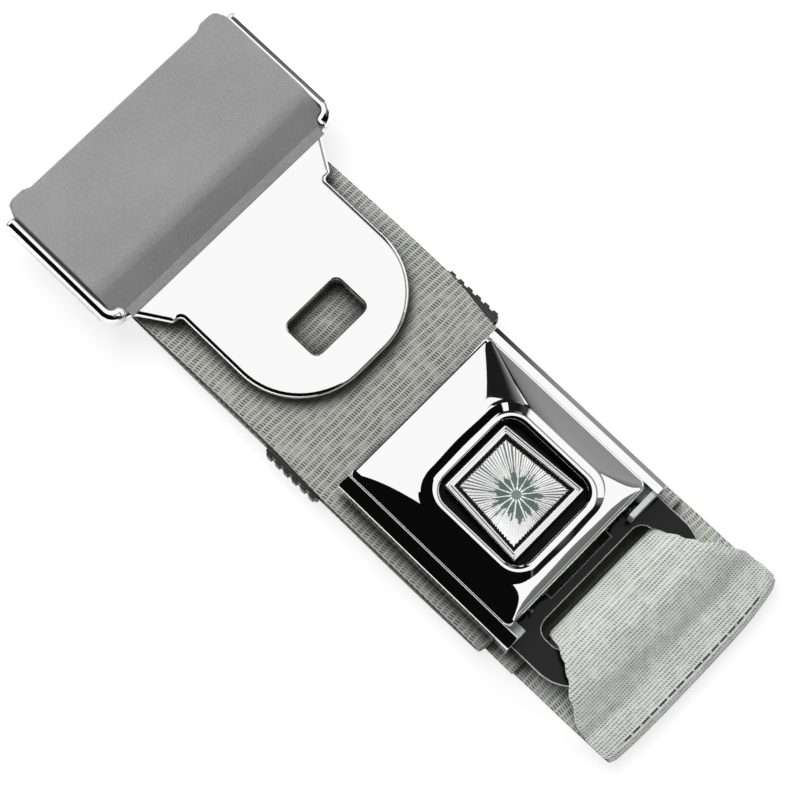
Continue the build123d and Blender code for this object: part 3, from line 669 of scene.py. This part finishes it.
def makeTongueCover(plastic):
    size = tongueCover
    low, high = nodeBox("tongue_cover")
    cover = addBox("tongueCoverMoulded", low, high)
    centre = (low.y + high.y) / 2
    half = (high.y - low.y) / 2
    rearZone = low.x + size["rearZone"]

    def acrossTop(a, b):
        return min(a.z, b.z) > high.z - touch and abs(a.x - b.x) < touch

    def topFront(a, b):
        return acrossTop(a, b) and a.x > rearZone

    def topRear(a, b):
        return acrossTop(a, b) and a.x < rearZone

    # the front leans back, and so does the rear a little
    moveEdges(cover, topFront, (-size["slope"], 0, 0))
    moveEdges(cover, topRear, (size["lean"], 0, 0))
    bevelEdges(cover, topFront, size["frontRadius"], 8, offset_type="WIDTH")
    bevelEdges(cover, topRear, size["rearRadius"], 6)
    # the rear is set in a little between its two ears
    radius, ear = size["cornerRadius"], size["ear"]
    insets = [radius * step / size["cornerCuts"] for step in range(1, size["cornerCuts"] + 1)]
    for side in (1, -1):
        for inset in (*insets, ear, ear + size["earStep"]):
            openMesh(cover, "SELECT")
            place = centre + side * (half - inset)
            bpy.ops.mesh.bisect(plane_co=(0, place * mm, 0), plane_no=(0, 1, 0))
            closeMesh(cover)
    mesh = openMesh(cover)
    middle = half - ear - size["earStep"] + touch
    for vertex in mesh.verts:
        place = vertex.co / mm
        if place.x > rearZone:
            continue
        if abs(place.y - centre) < middle:
            vertex.co.x += size["recess"] * mm
        beyond = min(radius, max(0.0, abs(place.y - centre) - half + radius))
        vertex.co.x += (radius - math.sqrt(radius * radius - beyond * beyond)) * mm
    closeMesh(cover)
    mesh = openMesh(cover)
    bpy.ops.mesh.select_mode(type="FACE")
    for face in mesh.faces:
        face.select_set(face.normal.z < -0.9)
    bmesh.update_edit_mesh(cover.data)
    bpy.ops.mesh.delete(type="FACE")
    closeMesh(cover)
    rollEdges(cover, size["sideEdge"], 4, 40, clamp=True)
    applyModifier(cover, "SOLIDIFY", thickness=size["wall"] * mm, offset=-1)
    reach = half - size["footInset"]
    ground = tonguePlate["thick"] + nodeBox("tongue_plate")[0].z
    foot = addBox(
        "foot",
        (high.x - size["footTuck"], centre - reach, ground - size["footSink"]),
        (high.x + size["footWidth"], centre + reach, ground + size["footTall"]),
    )

    def footFront(a, b):
        return min(a.z, b.z) > ground + touch and min(a.x, b.x) > high.x

    moveEdges(foot, footFront, (0, 0, -size["footShort"]))
    rollEdges(foot, size["footEdge"], 3, 50)
    cover = joinPieces("tongueCoverMoulded", [cover, foot])
    smoothShade(cover, 45)
    dress(cover, plastic, "grey_plastic", "tongue", "tongue_cover")


# each ring is front x, rear x, half width, corner radius, height, and how far its sides bow out
buckleCover = {
    "lip": (
        (5.7, 47.45, 19.0, 1.7, 14.6, 0), (5.72, 47.43, 18.98, 1.7, 15.2, 0),
        (6.15, 47.2, 18.78, 1.7, 15.70, 0), (6.46, 47.0, 18.6, 1.7, 15.85, 0),
    ),
    "slopeStart": (6.8, 46.75, 18.34, 1.7, 15.96, 0), "foot": (16.15, 44.25, 13.8, 6.0, 17.30, 1),
    "slopeRings": 18,
    "footShare": 0.65,  # the slope's pitch at its foot, as a share of its mean
    # the flank, the crest, the fall of the lip and the well's edge
    "rim": (
        (16.25, 44.15, 13.7, 5.95, 17.35, 1), (17.85, 43.25, 12.2, 4.9, 18.20, 0.4),
        (18.0, 43.1, 12.05, 4.8, 18.28, 0.3), (18.2, 42.95, 11.85, 4.7, 18.33, 0.2),
        (18.4, 42.75, 11.6, 4.6, 18.35, 0), (18.65, 42.5, 11.35, 4.45, 18.33, 0),
        (18.85, 42.28, 11.12, 4.3, 18.28, 0), (19.0, 42.08, 10.93, 4.15, 18.19, 0),
        (19.12, 41.9, 10.78, 4.0, 18.07, 0), (19.24, 41.74, 10.64, 3.85, 17.88, 0),
        (19.32, 41.6, 10.54, 3.7, 17.6, 0), (19.4, 41.3, 10.42, 3.5, 16.0, 0),
    ),
    "bows": (0.0, 0.28, 0.0, 0.2),  # +Y side, front, -Y side, rear
    "arcSteps": 14, "sideSteps": 14, "border": 15.40, "borderTuck": 0.15, "borderTilt": 8.0,
    "bandWidth": 1.15, "bandTilt": 15.0, "bandRadius": 1.2, "edge": 0.5, "edgeInside": 0.3, "wall": 0.7,
    "wallFoot": 0.2, "wallEnd": 0.3,
}


def coverRing(front, rear, half, radius, level, bowed):
    arcSteps, sideSteps = buckleCover["arcSteps"], buckleCover["sideSteps"]
    corners = (
        (rear - radius, half - radius, 0),
        (front + radius, half - radius, 90),
        (front + radius, radius - half, 180),
        (rear - radius, radius - half, 270),
    )
    arcs = []
    for middleX, middleY, start in corners:
        spins = [math.radians(start + 90 * step / arcSteps) for step in range(arcSteps + 1)]
        centre = Vector((middleX, middleY, level))
        arcs.append([centre + Vector((math.cos(spin), math.sin(spin), 0)) * radius for spin in spins])
    outward = (Vector((0, 1, 0)), Vector((-1, 0, 0)), Vector((0, -1, 0)), Vector((1, 0, 0)))
    ring = []
    for index, arc in enumerate(arcs):
        ring.extend(arc)
        following = arcs[(index + 1) % 4][0]
        for step in range(1, sideSteps):
            swell = math.sin(math.pi * step / sideSteps) ** 2 * buckleCover["bows"][index] * bowed
            ring.append(arc[-1].lerp(following, step / sideSteps) + outward[index] * swell)
    return ring


def makeBuckleCover(chrome):
    size = buckleCover
    low, high = nodeBox("buckle_cover")
    start, foot = size["slopeStart"], size["foot"]
    rings = [*size["lip"], start]
    last = size["footShare"]
    for step in range(1, size["slopeRings"] + 1):
        share = step / size["slopeRings"]
        ring = [a + (b - a) * share for a, b in zip(start, foot)]
        # steep at the outside and flatter towards the rim
        climb = last * share + (1 - last) * (1 - (1 - share) ** 2)
        ring[4] = start[4] + (foot[4] - start[4]) * climb
        ring[5] = share**3
        rings.append(ring)
    rings += size["rim"]
    crown = ringStack("crown", [coverRing(*ring) for ring in rings])

    # the borders and side walls, each a bent strip of sheet
    inner = size["lip"][0][2] - size["borderTuck"]
    tilt, bandTilt = (math.tan(math.radians(size[key])) for key in ("borderTilt", "bandTilt"))
    bandStart = high.y - size["bandWidth"]
    bandLevel = size["border"] - tilt * (bandStart - inner)
    edgeLevel = bandLevel - bandTilt * size["bandWidth"]
    wall = size["wall"]
    section = (
        (inner, size["border"], 0),
        (bandStart, bandLevel, size["bandRadius"]),
        (high.y, edgeLevel, size["edge"]),
        (high.y, low.z, size["wallFoot"]),
        (high.y - wall, low.z, size["wallFoot"]),
        (high.y - wall, edgeLevel - wall, size["edgeInside"]),
        (inner, size["border"] - wall, 0),
    )
    pieces = [crown]
    for side in (1, -1):
        line = roundedLine([(side * y, z, r) for y, z, r in section], closed=True, turnStep=9.0)
        rail = pullRing("rail", [Vector((low.x, p.x, p.y)) for p in line], (high.x - low.x, 0, 0))
        rollEdges(rail, size["wallEnd"], 3, 60, clamp=True)
        pieces.append(rail)
    cover = joinPieces("buckleCoverChromed", pieces)
    turnOutwards(cover)
    smoothShade(cover, 30)
    dress(cover, chrome, "bright_chrome", "buckle", "buckle_cover")


buttonFace = {
    "front": 20.4, "rear": 39.6, "frontHalf": 8.25, "rearHalf": 9.5, "top": 17.85, "corner": 0.22,
    # inset and drop of each ring, from the outer wall over two ridges to the groove
    "steps": (
        (0.0, -1.40), (0.0, -0.24), (0.06, -0.09), (0.20, 0.0), (0.42, 0.0), (0.56, -0.10),
        (0.62, -0.42), (0.76, -0.42), (0.82, -0.14), (0.94, -0.05), (1.18, -0.05), (1.32, -0.14),
        (1.38, -0.32), (1.40, -1.30),
    ),
    "insertInset": 1.95, "insertTop": -0.5, "insertDepth": 0.8,
    # the insert's rings, as shares of its reach
    "shares": (1.0, 0.96, 0.9, 0.8, 0.7, 0.58, 0.46, 0.36, 0.27, 0.19, 0.12, 0.06), "rays": 84,
    "perRay": 6, "longRays": 14, "ridge": 0.1, "ridgeRun": 2.0, "tooth": 0.34, "centre": (31.2, 0.0),
    "disc": 0.95,
}


def trapezoid(inset):
    size = buttonFace
    front, rear = size["front"] + inset, size["rear"] - inset
    return front, rear, size["frontHalf"] - inset, size["rearHalf"] - inset


def makeButtonTrim(chrome):
    size = buttonFace
    rings = []
    for inset, drop in size["steps"]:
        front, rear, frontHalf, rearHalf = trapezoid(inset)
        corners = ((rear, rearHalf), (front, frontHalf), (front, -frontHalf), (rear, -rearHalf))
        line = roundedLine([(x, y, size["corner"]) for x, y in corners], closed=True, turnStep=30.0)
        rings.append([Vector((p.x, p.y, size["top"] + drop)) for p in line])
    trim = ringStack("buttonTrimChromed", rings)
    turnOutwards(trim)
    smoothShade(trim, 50)
    dress(trim, chrome, "button_chrome", "button", "button_trim")


def burstReach(angle):
    # from the burst's centre to the insert's edge
    tiny = 1e-6
    front, rear, frontHalf, rearHalf = trapezoid(buttonFace["insertInset"])
    centreX, centreY = buttonFace["centre"]
    across, up = math.cos(angle), math.sin(angle)
    reaches = [(rear - centreX) / across if across > 0 else (front - centreX) / min(across, -tiny)]
    taper = (rearHalf - frontHalf) / (rear - front)
    for side in (1, -1):
        closing = side * up - taper * across
        if closing > tiny:
            reaches.append((frontHalf + taper * (centreX - front) - side * centreY) / closing)
    return min(reaches)


def makeButtonInsert(silver):
    size = buttonFace
    perRay = size["perRay"]
    count = size["rays"] * perRay
    top = size["top"] + size["insertTop"]
    centreX, centreY = size["centre"]
    rings = []
    for level, share in enumerate((1.0, *size["shares"])):
        ring = []
        for index in range(count):
            angle = math.tau * index / count
            wedge = 1 - abs(2 * ((index % perRay) / perRay) - 1)
            radius = burstReach(angle) * share
            if share == 1:
                radius -= size["tooth"] * (1 - wedge)
            height = size["ridge"] * wedge * min(1.0, max(0.0, radius - size["disc"]) / size["ridgeRun"])
            drop = size["insertDepth"] if level == 0 else 0.0
            x, y = centreX + radius * math.cos(angle), centreY + radius * math.sin(angle)
            ring.append(Vector((x, y, top + height - drop)))
        rings.append(ring)
    insert = ringStack("buttonInsertRayed", rings, capLast=True)
    # the map counts rays round the centre, and millimetres out from it
    layer = insert.data.uv_layers.new(name="burst")
    for polygon in insert.data.polygons:
        middle = polygon.center / mm
        mid = math.atan2(middle.y - centreY, middle.x - centreX)
        for index in polygon.loop_indices:
            place = insert.data.vertices[insert.data.loops[index].vertex_index].co / mm
            reach = math.hypot(place.x - centreX, place.y - centreY)
            turn = math.atan2(place.y - centreY, place.x - centreX)
            if polygon.loop_total < 5:
                turn += math.tau * round((mid - turn) / math.tau)
            layer.data[index].uv = ((turn / math.tau + 1) * size["rays"], reach)
    turnOutwards(insert)
    smoothShade(insert, 12)
    dress(insert, silver, "insert_silver", "button", "button_insert")


# pairs for a width or a tip are what chance adds and the least
burst = {
    "bright": (0.93, 0.935, 0.93), "cut": (0.07, 0.075, 0.072), "star": (0.15, 0.205, 0.185),
    "rough": (0.26, 0.5), "speckle": 0.12, "cutWidth": (0.22, 0.08), "widening": (0.55, 1.1, 2.0, 8.0),
    "cutDepth": 0.86, "cutStart": (0, 1, 1.2, 2.6), "plainTurn": 0.85,
    "plainFade": (1, 0.06, 0.72, 0.97), "tip": (2.4, 3.5), "tipSlope": -1.6, "rayHalf": 0.30,
    "rayCore": 0.6,
}


def makeBurst():
    size = buttonFace
    material, shader = newMaterial("rayCutSilver", burst["bright"], roughness=0.3, metallic=0.35)
    turn, radius = mapParts(material, "burst")
    chance = addNode(material, "TexWhiteNoise", noise_dimensions="1D")
    feed(chance, "W", work("FLOOR", turn))
    luck = chance.outputs["Value"]
    fromLine = work("ABSOLUTE", work("SUBTRACT", work("FRACT", turn), 0.5))
    # dark wedges cut between the rays, which fade towards one corner
    width = times(work("MULTIPLY_ADD", luck, *burst["cutWidth"]), spread(radius, *burst["widening"]))
    plainCorner = work("COSINE", work("MULTIPLY_ADD", turn, math.tau / size["rays"], burst["plainTurn"]))
    depth = times(spread(plainCorner, *burst["plainFade"]), burst["cutDepth"])
    depth = times(depth, spread(radius, *burst["cutStart"]))
    cut = times(work("LESS_THAN", fromLine, width), depth)
    # the star between the long rays, its tips cut uneven
    longPhase = work("FRACT", work("DIVIDE", turn, size["rays"] / size["longRays"]))
    fromLong = work("ABSOLUTE", work("SUBTRACT", longPhase, 0.5))
    tip = work("MULTIPLY_ADD", fromLong, burst["tipSlope"], work("MULTIPLY_ADD", luck, *burst["tip"]))
    rayHalf = work("DIVIDE", burst["rayHalf"], work("MAXIMUM", radius, burst["rayCore"]))
    offRay = work("GREATER_THAN", work("SUBTRACT", 0.5, fromLong), rayHalf)
    disc = work("LESS_THAN", radius, size["disc"])
    star = work("MAXIMUM", times(work("LESS_THAN", radius, tip), offRay), disc)
    tone = mixColours(star, mixColours(cut, burst["bright"], burst["cut"]), burst["star"])
    feed(shader, "Base Color", tone)
    feed(shader, "Roughness", spread(star, *burst["rough"]))
    addBump(shader, objectNoise(material, burst["speckle"]), gloss["depth"], strength=0.5)
    return material


belt = {
    "width": 49.0, "thick": 1.3, "layerStep": 2.3, "rowStep": 0.7, "columns": 28,
    "crowding": 0.8,  # columns lie closer together towards the edges
    "selvedge": (0.42, 0.75),  # share of the thickness at the edge, and gained for each millimetre in
    "tailEnd": -70.0, "strapFold": 46.2, "tongueFold": -75.2, "lowerFold": -73.0, "lowerEnd": 53.0,
    "rearFold": 76.55, "rearRadius": 1.6,
}


def runLengths(line):
    lengths = [0.0]
    for first, second in zip(line, line[1:]):
        lengths.append(lengths[-1] + (second - first).length)
    return lengths


def evenLine(line, step):
    # points an even distance apart, each with its distance from the start
    lengths = runLengths(line)
    count = max(2, round(lengths[-1] / step))
    result, place = [], 0
    for index in range(count + 1):
        distance = lengths[-1] * index / count
        while place < len(lengths) - 2 and lengths[place + 1] < distance:
            place += 1
        span = lengths[place + 1] - lengths[place]
        share = 0 if span == 0 else (distance - lengths[place]) / span
        result.append((line[place].lerp(line[place + 1], share), distance))
    return result


def between(keys, value):
    # eases through a short list of (place, size)
    if value <= keys[0][0]:
        return keys[0][1]
    for (firstPlace, first), (secondPlace, second) in zip(keys, keys[1:]):
        if value <= secondPlace:
            return first + (second - first) * ease((value - firstPlace) / (secondPlace - firstPlace))
    return keys[-1][1]


def layBelt(name, line, shape):
    # shape(place, distance, share) gives half width, sideways shift, lift and shift along X at a point
    rows = evenLine(line, belt["rowStep"])
    last = len(rows) - 1
    thin, gain = belt["selvedge"]
    divisions = {"x_subdivisions": belt["columns"], "y_subdivisions": last}
    piece = newObject(name, bpy.ops.mesh.primitive_grid_add, size=2, calc_uvs=False, **divisions)
    piece.data.name = name
    coords, insets = [], []
    for vertex in piece.data.vertices:
        share = math.copysign(abs(vertex.co.x) ** belt["crowding"], vertex.co.x)
        index = round((vertex.co.y + 1) / 2 * last)
        centre, distance = rows[index]
        run = (rows[min(last, index + 1)][0] - rows[max(0, index - 1)][0]).normalized()
        half, shift, lift, slide = shape(centre, distance, share)
        place = centre + Vector((-run.y, run.x)) * lift
        vertex.co = Vector((place.x + slide, shift + share * half, place.y)) * mm
        coords.append((share * half, distance))
        insets.append(belt["width"] / 2 * (1 - abs(share)))
    layer = piece.data.uv_layers.new(name="cloth")
    for loop in piece.data.loops:
        layer.data[loop.index].uv = coords[loop.vertex_index]
    selvedge = piece.vertex_groups.new(name="selvedge")
    for index, inset in enumerate(insets):
        selvedge.add([index], min(1.0, thin + inset * gain), "REPLACE")
    applyModifier(piece, "SOLIDIFY", thickness=belt["thick"] * mm, offset=0, vertex_group="selvedge")
    openMesh(piece, "SELECT")
    bpy.ops.mesh.normals_make_consistent(inside=False)
    closeMesh(piece)
    bpy.ops.object.shade_smooth_by_angle(angle=math.radians(50))
    return piece, rows[-1][1]


upperBelt = {
    "shifts": ((0, -0.3), (60, -0.2), (118, 0.2), (150, 0.3), (235, 0.0), (250, 0.8)), "waver": 0.12,
    "waverRun": 9.0,
    "drawnIn": ((-9, 0.0), (4, 0.55), (49, 0.55)),  # narrowed and pulled aside under the buckle
    "aside": 1.6,
    "overBar": (-67.7, -60.8),  # where it climbs over the bar and comes down again
    "climbRadius": 1.3, "barRadius": 1.5, "end": -50.4,
}


def makeUpperBelt():
    size = upperBelt
    webLow, webHigh = nodeBox("tongue_webbing")
    mid = belt["thick"] / 2
    third = nodeBox("tongue_strap")[0].z + mid
    fourth = third + belt["layerStep"]
    run, overBar = webLow.z + mid, webHigh.z - mid
    fold, turn = (fourth - third) / 2, (run - fourth) / 2
    climb, fall = size["overBar"]
    corners = [
        (belt["tailEnd"], third, 0),
        (belt["strapFold"] - mid, third, fold),
        (belt["strapFold"] - mid, fourth, fold),
        (belt["tongueFold"] - turn, fourth, turn),
        (belt["tongueFold"] - turn, run, turn),
        (climb, run, size["climbRadius"]),
        (climb, overBar, size["barRadius"]),
        (fall, overBar, size["barRadius"]),
        (fall, run, size["climbRadius"]),
        (size["end"], run, 0),
    ]
    line = roundedLine(corners, turnStep=12.0)

    def shape(place, distance, share):
        drawn = between(size["drawnIn"], place.x)
        waver = size["waver"] * math.sin(distance / size["waverRun"]) * abs(share)
        shift = between(size["shifts"], distance) + waver - size["aside"] * drawn
        return belt["width"] / 2 - drawn, shift, 0.0, 0.0

    piece, length = layBelt("upperBelt", line, shape)
    dress(piece, makeWebbing("upperWebbing", 1.0), "webbing")
    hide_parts("tongue_strap", "tongue_webbing")
    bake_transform(piece)
    print(round(length), "mm long")


lowerBelt = {
    "loopHalves": (
        (52.9, 14.1), (55.5, 14.7), (58.5, 16.2), (61.2, 17.9), (64.8, 20.8), (69.5, 23.4),
        (73.0, 23.9),
    ),
    "rise": ((71.05, 5.65, 4.0), (65.0, 11.75, 9.0), (57.4, 13.0, 3.6)),  # from the rear fold up to the slot
    "slotMiddle": 53.6, "slotBends": ((10.4, 1.5), (6.75, 1.2)),
    "under": ((67.0, 6.75, 4.0), (72.0, 2.95, 0)),  # back below the bar to the strap's end
    "drawnIn": ((-9, 0.15), (4, 0.9), (49, 0.9)),
    "drawnTo": 12.0,  # this far before the rear fold it is drawn in for good
    "shifts": ((0, 0.6), (60, 0.15), (126, 0.1), (192, 0.1), (215, 0.35), (262, 1.3), (278, 1.5), (300, 0.5)),
    "bow": 1.3,  # the rear fold is this much fuller in the middle than at its ends
    "bowLean": 0.5, "bowRun": 9.0, "bowPower": 3.5, "ripple": 0.1, "rippleLength": 5.6,
    "rippleLean": (2.2, 2.1, 0.7),  # how much, how often across, and from where
    "rippleAfter": 4.0, "rippleFade": 5.0, "stitchIn": 0.6, "stitchSink": 0.12, "stitchWidth": 0.5,
    "stitchReach": 0.8, "underHalf": 13.9, "endHalf": 20.0,
    "widens": (62.0, 10.0, 1.2),  # from x, over how far, power
}


def makeLowerBelt():
    size = lowerBelt
    mid = belt["thick"] / 2
    first = nodeBox("lower_strap")[0].z + mid
    second = first + belt["layerStep"]
    fold, radius, slotX = (second - first) / 2, belt["rearRadius"], size["slotMiddle"]
    rear = belt["rearFold"] + radius
    corners = [
        (belt["lowerEnd"], second, 0),
        (belt["lowerFold"] + mid, second, fold),
        (belt["lowerFold"] + mid, first, fold),
        (rear, first, radius),
        (rear, first + 2 * radius, radius),
        *size["rise"],
        *((slotX, level, bend) for level, bend in size["slotBends"]),
        *size["under"],
    ]
    line = roundedLine(corners, turnStep=8.0)
    lengths = runLengths(line)
    foldAt = min(d for p, d in zip(line, lengths) if p.x > rear - 0.2)
    slotAt = min(d for p, d in zip(line, lengths) if p.x < slotX + 0.45 and p.y > 8 and d > foldAt)
    stitchAt = foldAt + radius * 1.6 + size["stitchIn"]
    widenFrom, widenRun, widenPower = size["widens"]
    leanSize, leanTurn, leanStart = size["rippleLean"]

    def clamped(share):
        return max(0.0, min(1.0, share))

    def shape(place, distance, share):
        beyond = distance - foldAt
        drawn = between(size["drawnIn"], place.x) if beyond < -size["drawnTo"] else size["drawnIn"][-1][1]
        half = belt["width"] / 2 - drawn
        if beyond > 3:
            half = between(size["loopHalves"], place.x)
        if distance > slotAt + 2:
            widened = max(0.0, (place.x - widenFrom) / widenRun) ** widenPower
            half = size["underHalf"] + (size["endHalf"] - size["underHalf"]) * widened
        fade = size["rippleFade"]
        loop = clamped((beyond - size["rippleAfter"]) / fade) * clamped((slotAt - distance) / fade)
        phase = distance / size["rippleLength"] * math.tau
        lean = leanSize * math.sin(share * leanTurn + leanStart)
        lift = -size["ripple"] * loop * math.sin(phase + lean)
        if abs(share) < size["stitchReach"]:
            lift -= size["stitchSink"] * math.exp(-(((distance - stitchAt) / size["stitchWidth"]) ** 2))
        nearFold = max(0.0, 1 - abs(beyond) / size["bowRun"])
        bow = size["bow"] + math.copysign(size["bowLean"], share)
        slide = -bow * ease(nearFold) * abs(share) ** size["bowPower"]
        return half, between(size["shifts"], distance), lift, slide

    piece, length = layBelt("lowerBelt", line, shape)
    # the lower belt's cloth is brightened by lift and made pale past the rear fold: both are painted light
    dress(piece, makeWebbing("lowerWebbing", 1.35, foldAt - 4, foldAt + 2, stitchAt), "webbing")
    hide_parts("lower_strap", "buckle_strap")
    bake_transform(piece)
    print(round(length), "mm long")


keeper = {
    "bar": 0.7, "corner": 0.5, "edge": 0.2, "ribs": 6, "rib": 0.45,
    "ribShare": 0.56,  # of the ribs' pitch
    "ribRoot": 0.3, "ribShort": 0.45, "ribEdge": 0.18,
}


def makeKeeper(plastic):
    size = keeper
    low, high = nodeBox("webbing_keeper")
    band = addBox("band", (low.x, low.y + size["rib"], low.z), (high.x, high.y - size["rib"], high.z))
    bevelEdges(band, lambda a, b: abs(a.x - b.x) > touch, size["corner"], 3)
    bar = size["bar"]
    inner = high.y - size["rib"] - bar
    cutAway(band, addBox("hollow", (low.x - past, -inner, low.z + bar), (high.x + past, inner, high.z - bar)))
    rollEdges(band, size["edge"], 2, 50)
    pieces = [band]
    pitch = (high.x - low.x) / size["ribs"]
    reach = pitch * size["ribShare"] / 2
    for side in (1, -1):
        outer, root = side * high.y, side * (high.y - size["rib"] - size["ribRoot"])
        for index in range(size["ribs"]):
            x = low.x + pitch * (index + 0.5)
            rib = addBox(
                "rib",
                (x - reach, min(outer, root), low.z + size["ribShort"]),
                (x + reach, max(outer, root), high.z - size["ribShort"]),
            )
            rollEdges(rib, size["ribEdge"], 3, 50)
            pieces.append(rib)
    band = joinPieces("keeperMoulded", pieces)
    smoothShade(band, 40)
    dress(band, plastic, "keeper_plastic", "keeper", "webbing_keeper")


# CAD pieces whose sharp edges get a small radius: name, slot, body, radius
softened = (
    ("buckle_frame", "frame_black", "buckle", 0.2),
    ("well_liner", "liner_black", "buckle", 0.12),
    ("push_button", "button_core", "button", 0.12),
    ("blade_guides", "guide_plastic", "buckle", 0.16),
    ("latch_pawl", "bar_steel", "latch", 0.15),
    ("lock_bar", "bar_steel", "lock_bar", 0.15),
    ("ejector", "guide_plastic", "ejector", 0.15),
)


def copyNode(name):
    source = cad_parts[name]
    piece = source.copy()
    piece.data = source.data.copy()
    bpy.context.scene.collection.objects.link(piece)
    piece.parent = None
    for key in list(piece.keys()):
        del piece[key]
    piece.name = name + "_finished"
    openMesh(piece, "SELECT")
    bpy.ops.mesh.remove_doubles(threshold=0.000001)
    closeMesh(piece)
    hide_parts(name)
    return piece


def stretchSpring(name, along, fixedHigh, material):
    # a finished copy of the coils; where their pushed and resting ends lie is worked out but not used, so
    # they do not shorten
    low, high = nodeBox(name)
    piece = copyNode(name)
    coat(piece, material)
    smoothShade(piece, 80)
    push, rest = (low[along], high[along]) if fixedHigh else (high[along], low[along])
    start, end = [0.0, 0.0, 0.0], [0.0, 0.0, 0.0]
    start[along], end[along] = push * mm, rest * mm
    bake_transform(piece)


def softenNode(name, slot, body, width, material, *edgeMaterials):
    piece = copyNode(name)
    openMesh(piece, "SELECT")
    bpy.ops.mesh.dissolve_limited(angle_limit=math.radians(1))
    # flat faces with holes stay whole when their edges move in
    bpy.ops.mesh.quads_convert_to_tris(quad_method="BEAUTY", ngon_method="BEAUTY")
    closeMesh(piece)
    coat(piece, material, *edgeMaterials)
    rollEdges(piece, width, 2, 40, clamp=not edgeMaterials, material=1 if edgeMaterials else -1)
    smoothShade(piece, 45)
    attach(piece, body)


def finishInnerPieces():
    liner = makeGloss("linerBlack", (0.002, 0.002, 0.002), 0.2, 0.34, specular=0.1)
    steel = makeGloss("platedSteel", (0.55, 0.55, 0.56), 0.2, 0.38, 0.4, 1.0)
    # painted highlight: a light grey finish for the frame's rounded edges, standing in for the lamp's glints
    # along them
    paintedHighlightEdge = makeGloss("paintedHighlightEdge", (0.4, 0.405, 0.395), 0.35, 0.5)
    springSteel = makeGloss("springSteel", (0.42, 0.42, 0.43), 0.25, 0.4, 0.3, 1.0)
    finishes = {
        "frame_black": makeGloss("blackCoating", (0.006, 0.006, 0.0065), 0.06, 0.16, specular=0.22),
        "liner_black": liner,
        "button_core": liner,
        "guide_plastic": makeGloss("guidePlastic", (0.42, 0.47, 0.445), 0.35, 0.5),
        "bar_steel": steel,
    }
    for name, slot, body, width in softened:
        # the frame's rounded edges take the painted highlight finish
        edges = [paintedHighlightEdge] if name == "buckle_frame" else []
        softenNode(name, slot, body, width, finishes[slot], *edges)
    for name in ("pivot_pin", "guide_rivets"):
        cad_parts[name].material_slots[0].material = steel
    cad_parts["latch_springs"].material_slots[0].material = springSteel
    stretchSpring("button_springs", 2, False, springSteel)
    stretchSpring("ejector_springs", 0, True, springSteel)
    stretchSpring("lock_bar_springs", 0, True, springSteel)
    print("inner pieces done")


addCamera()
addStage()
addCards()
chrome = makeChrome()
makeTonguePlate(chrome)
makeTongueCover(makeGrain())
makeBuckleCover(chrome)
makeButtonTrim(chrome)
makeButtonInsert(makeBurst())
makeUpperBelt()
makeLowerBelt()
makeKeeper(makeGloss("keeperBlack", (0.018, 0.018, 0.018), 0.35, 0.55))
finishInnerPieces()
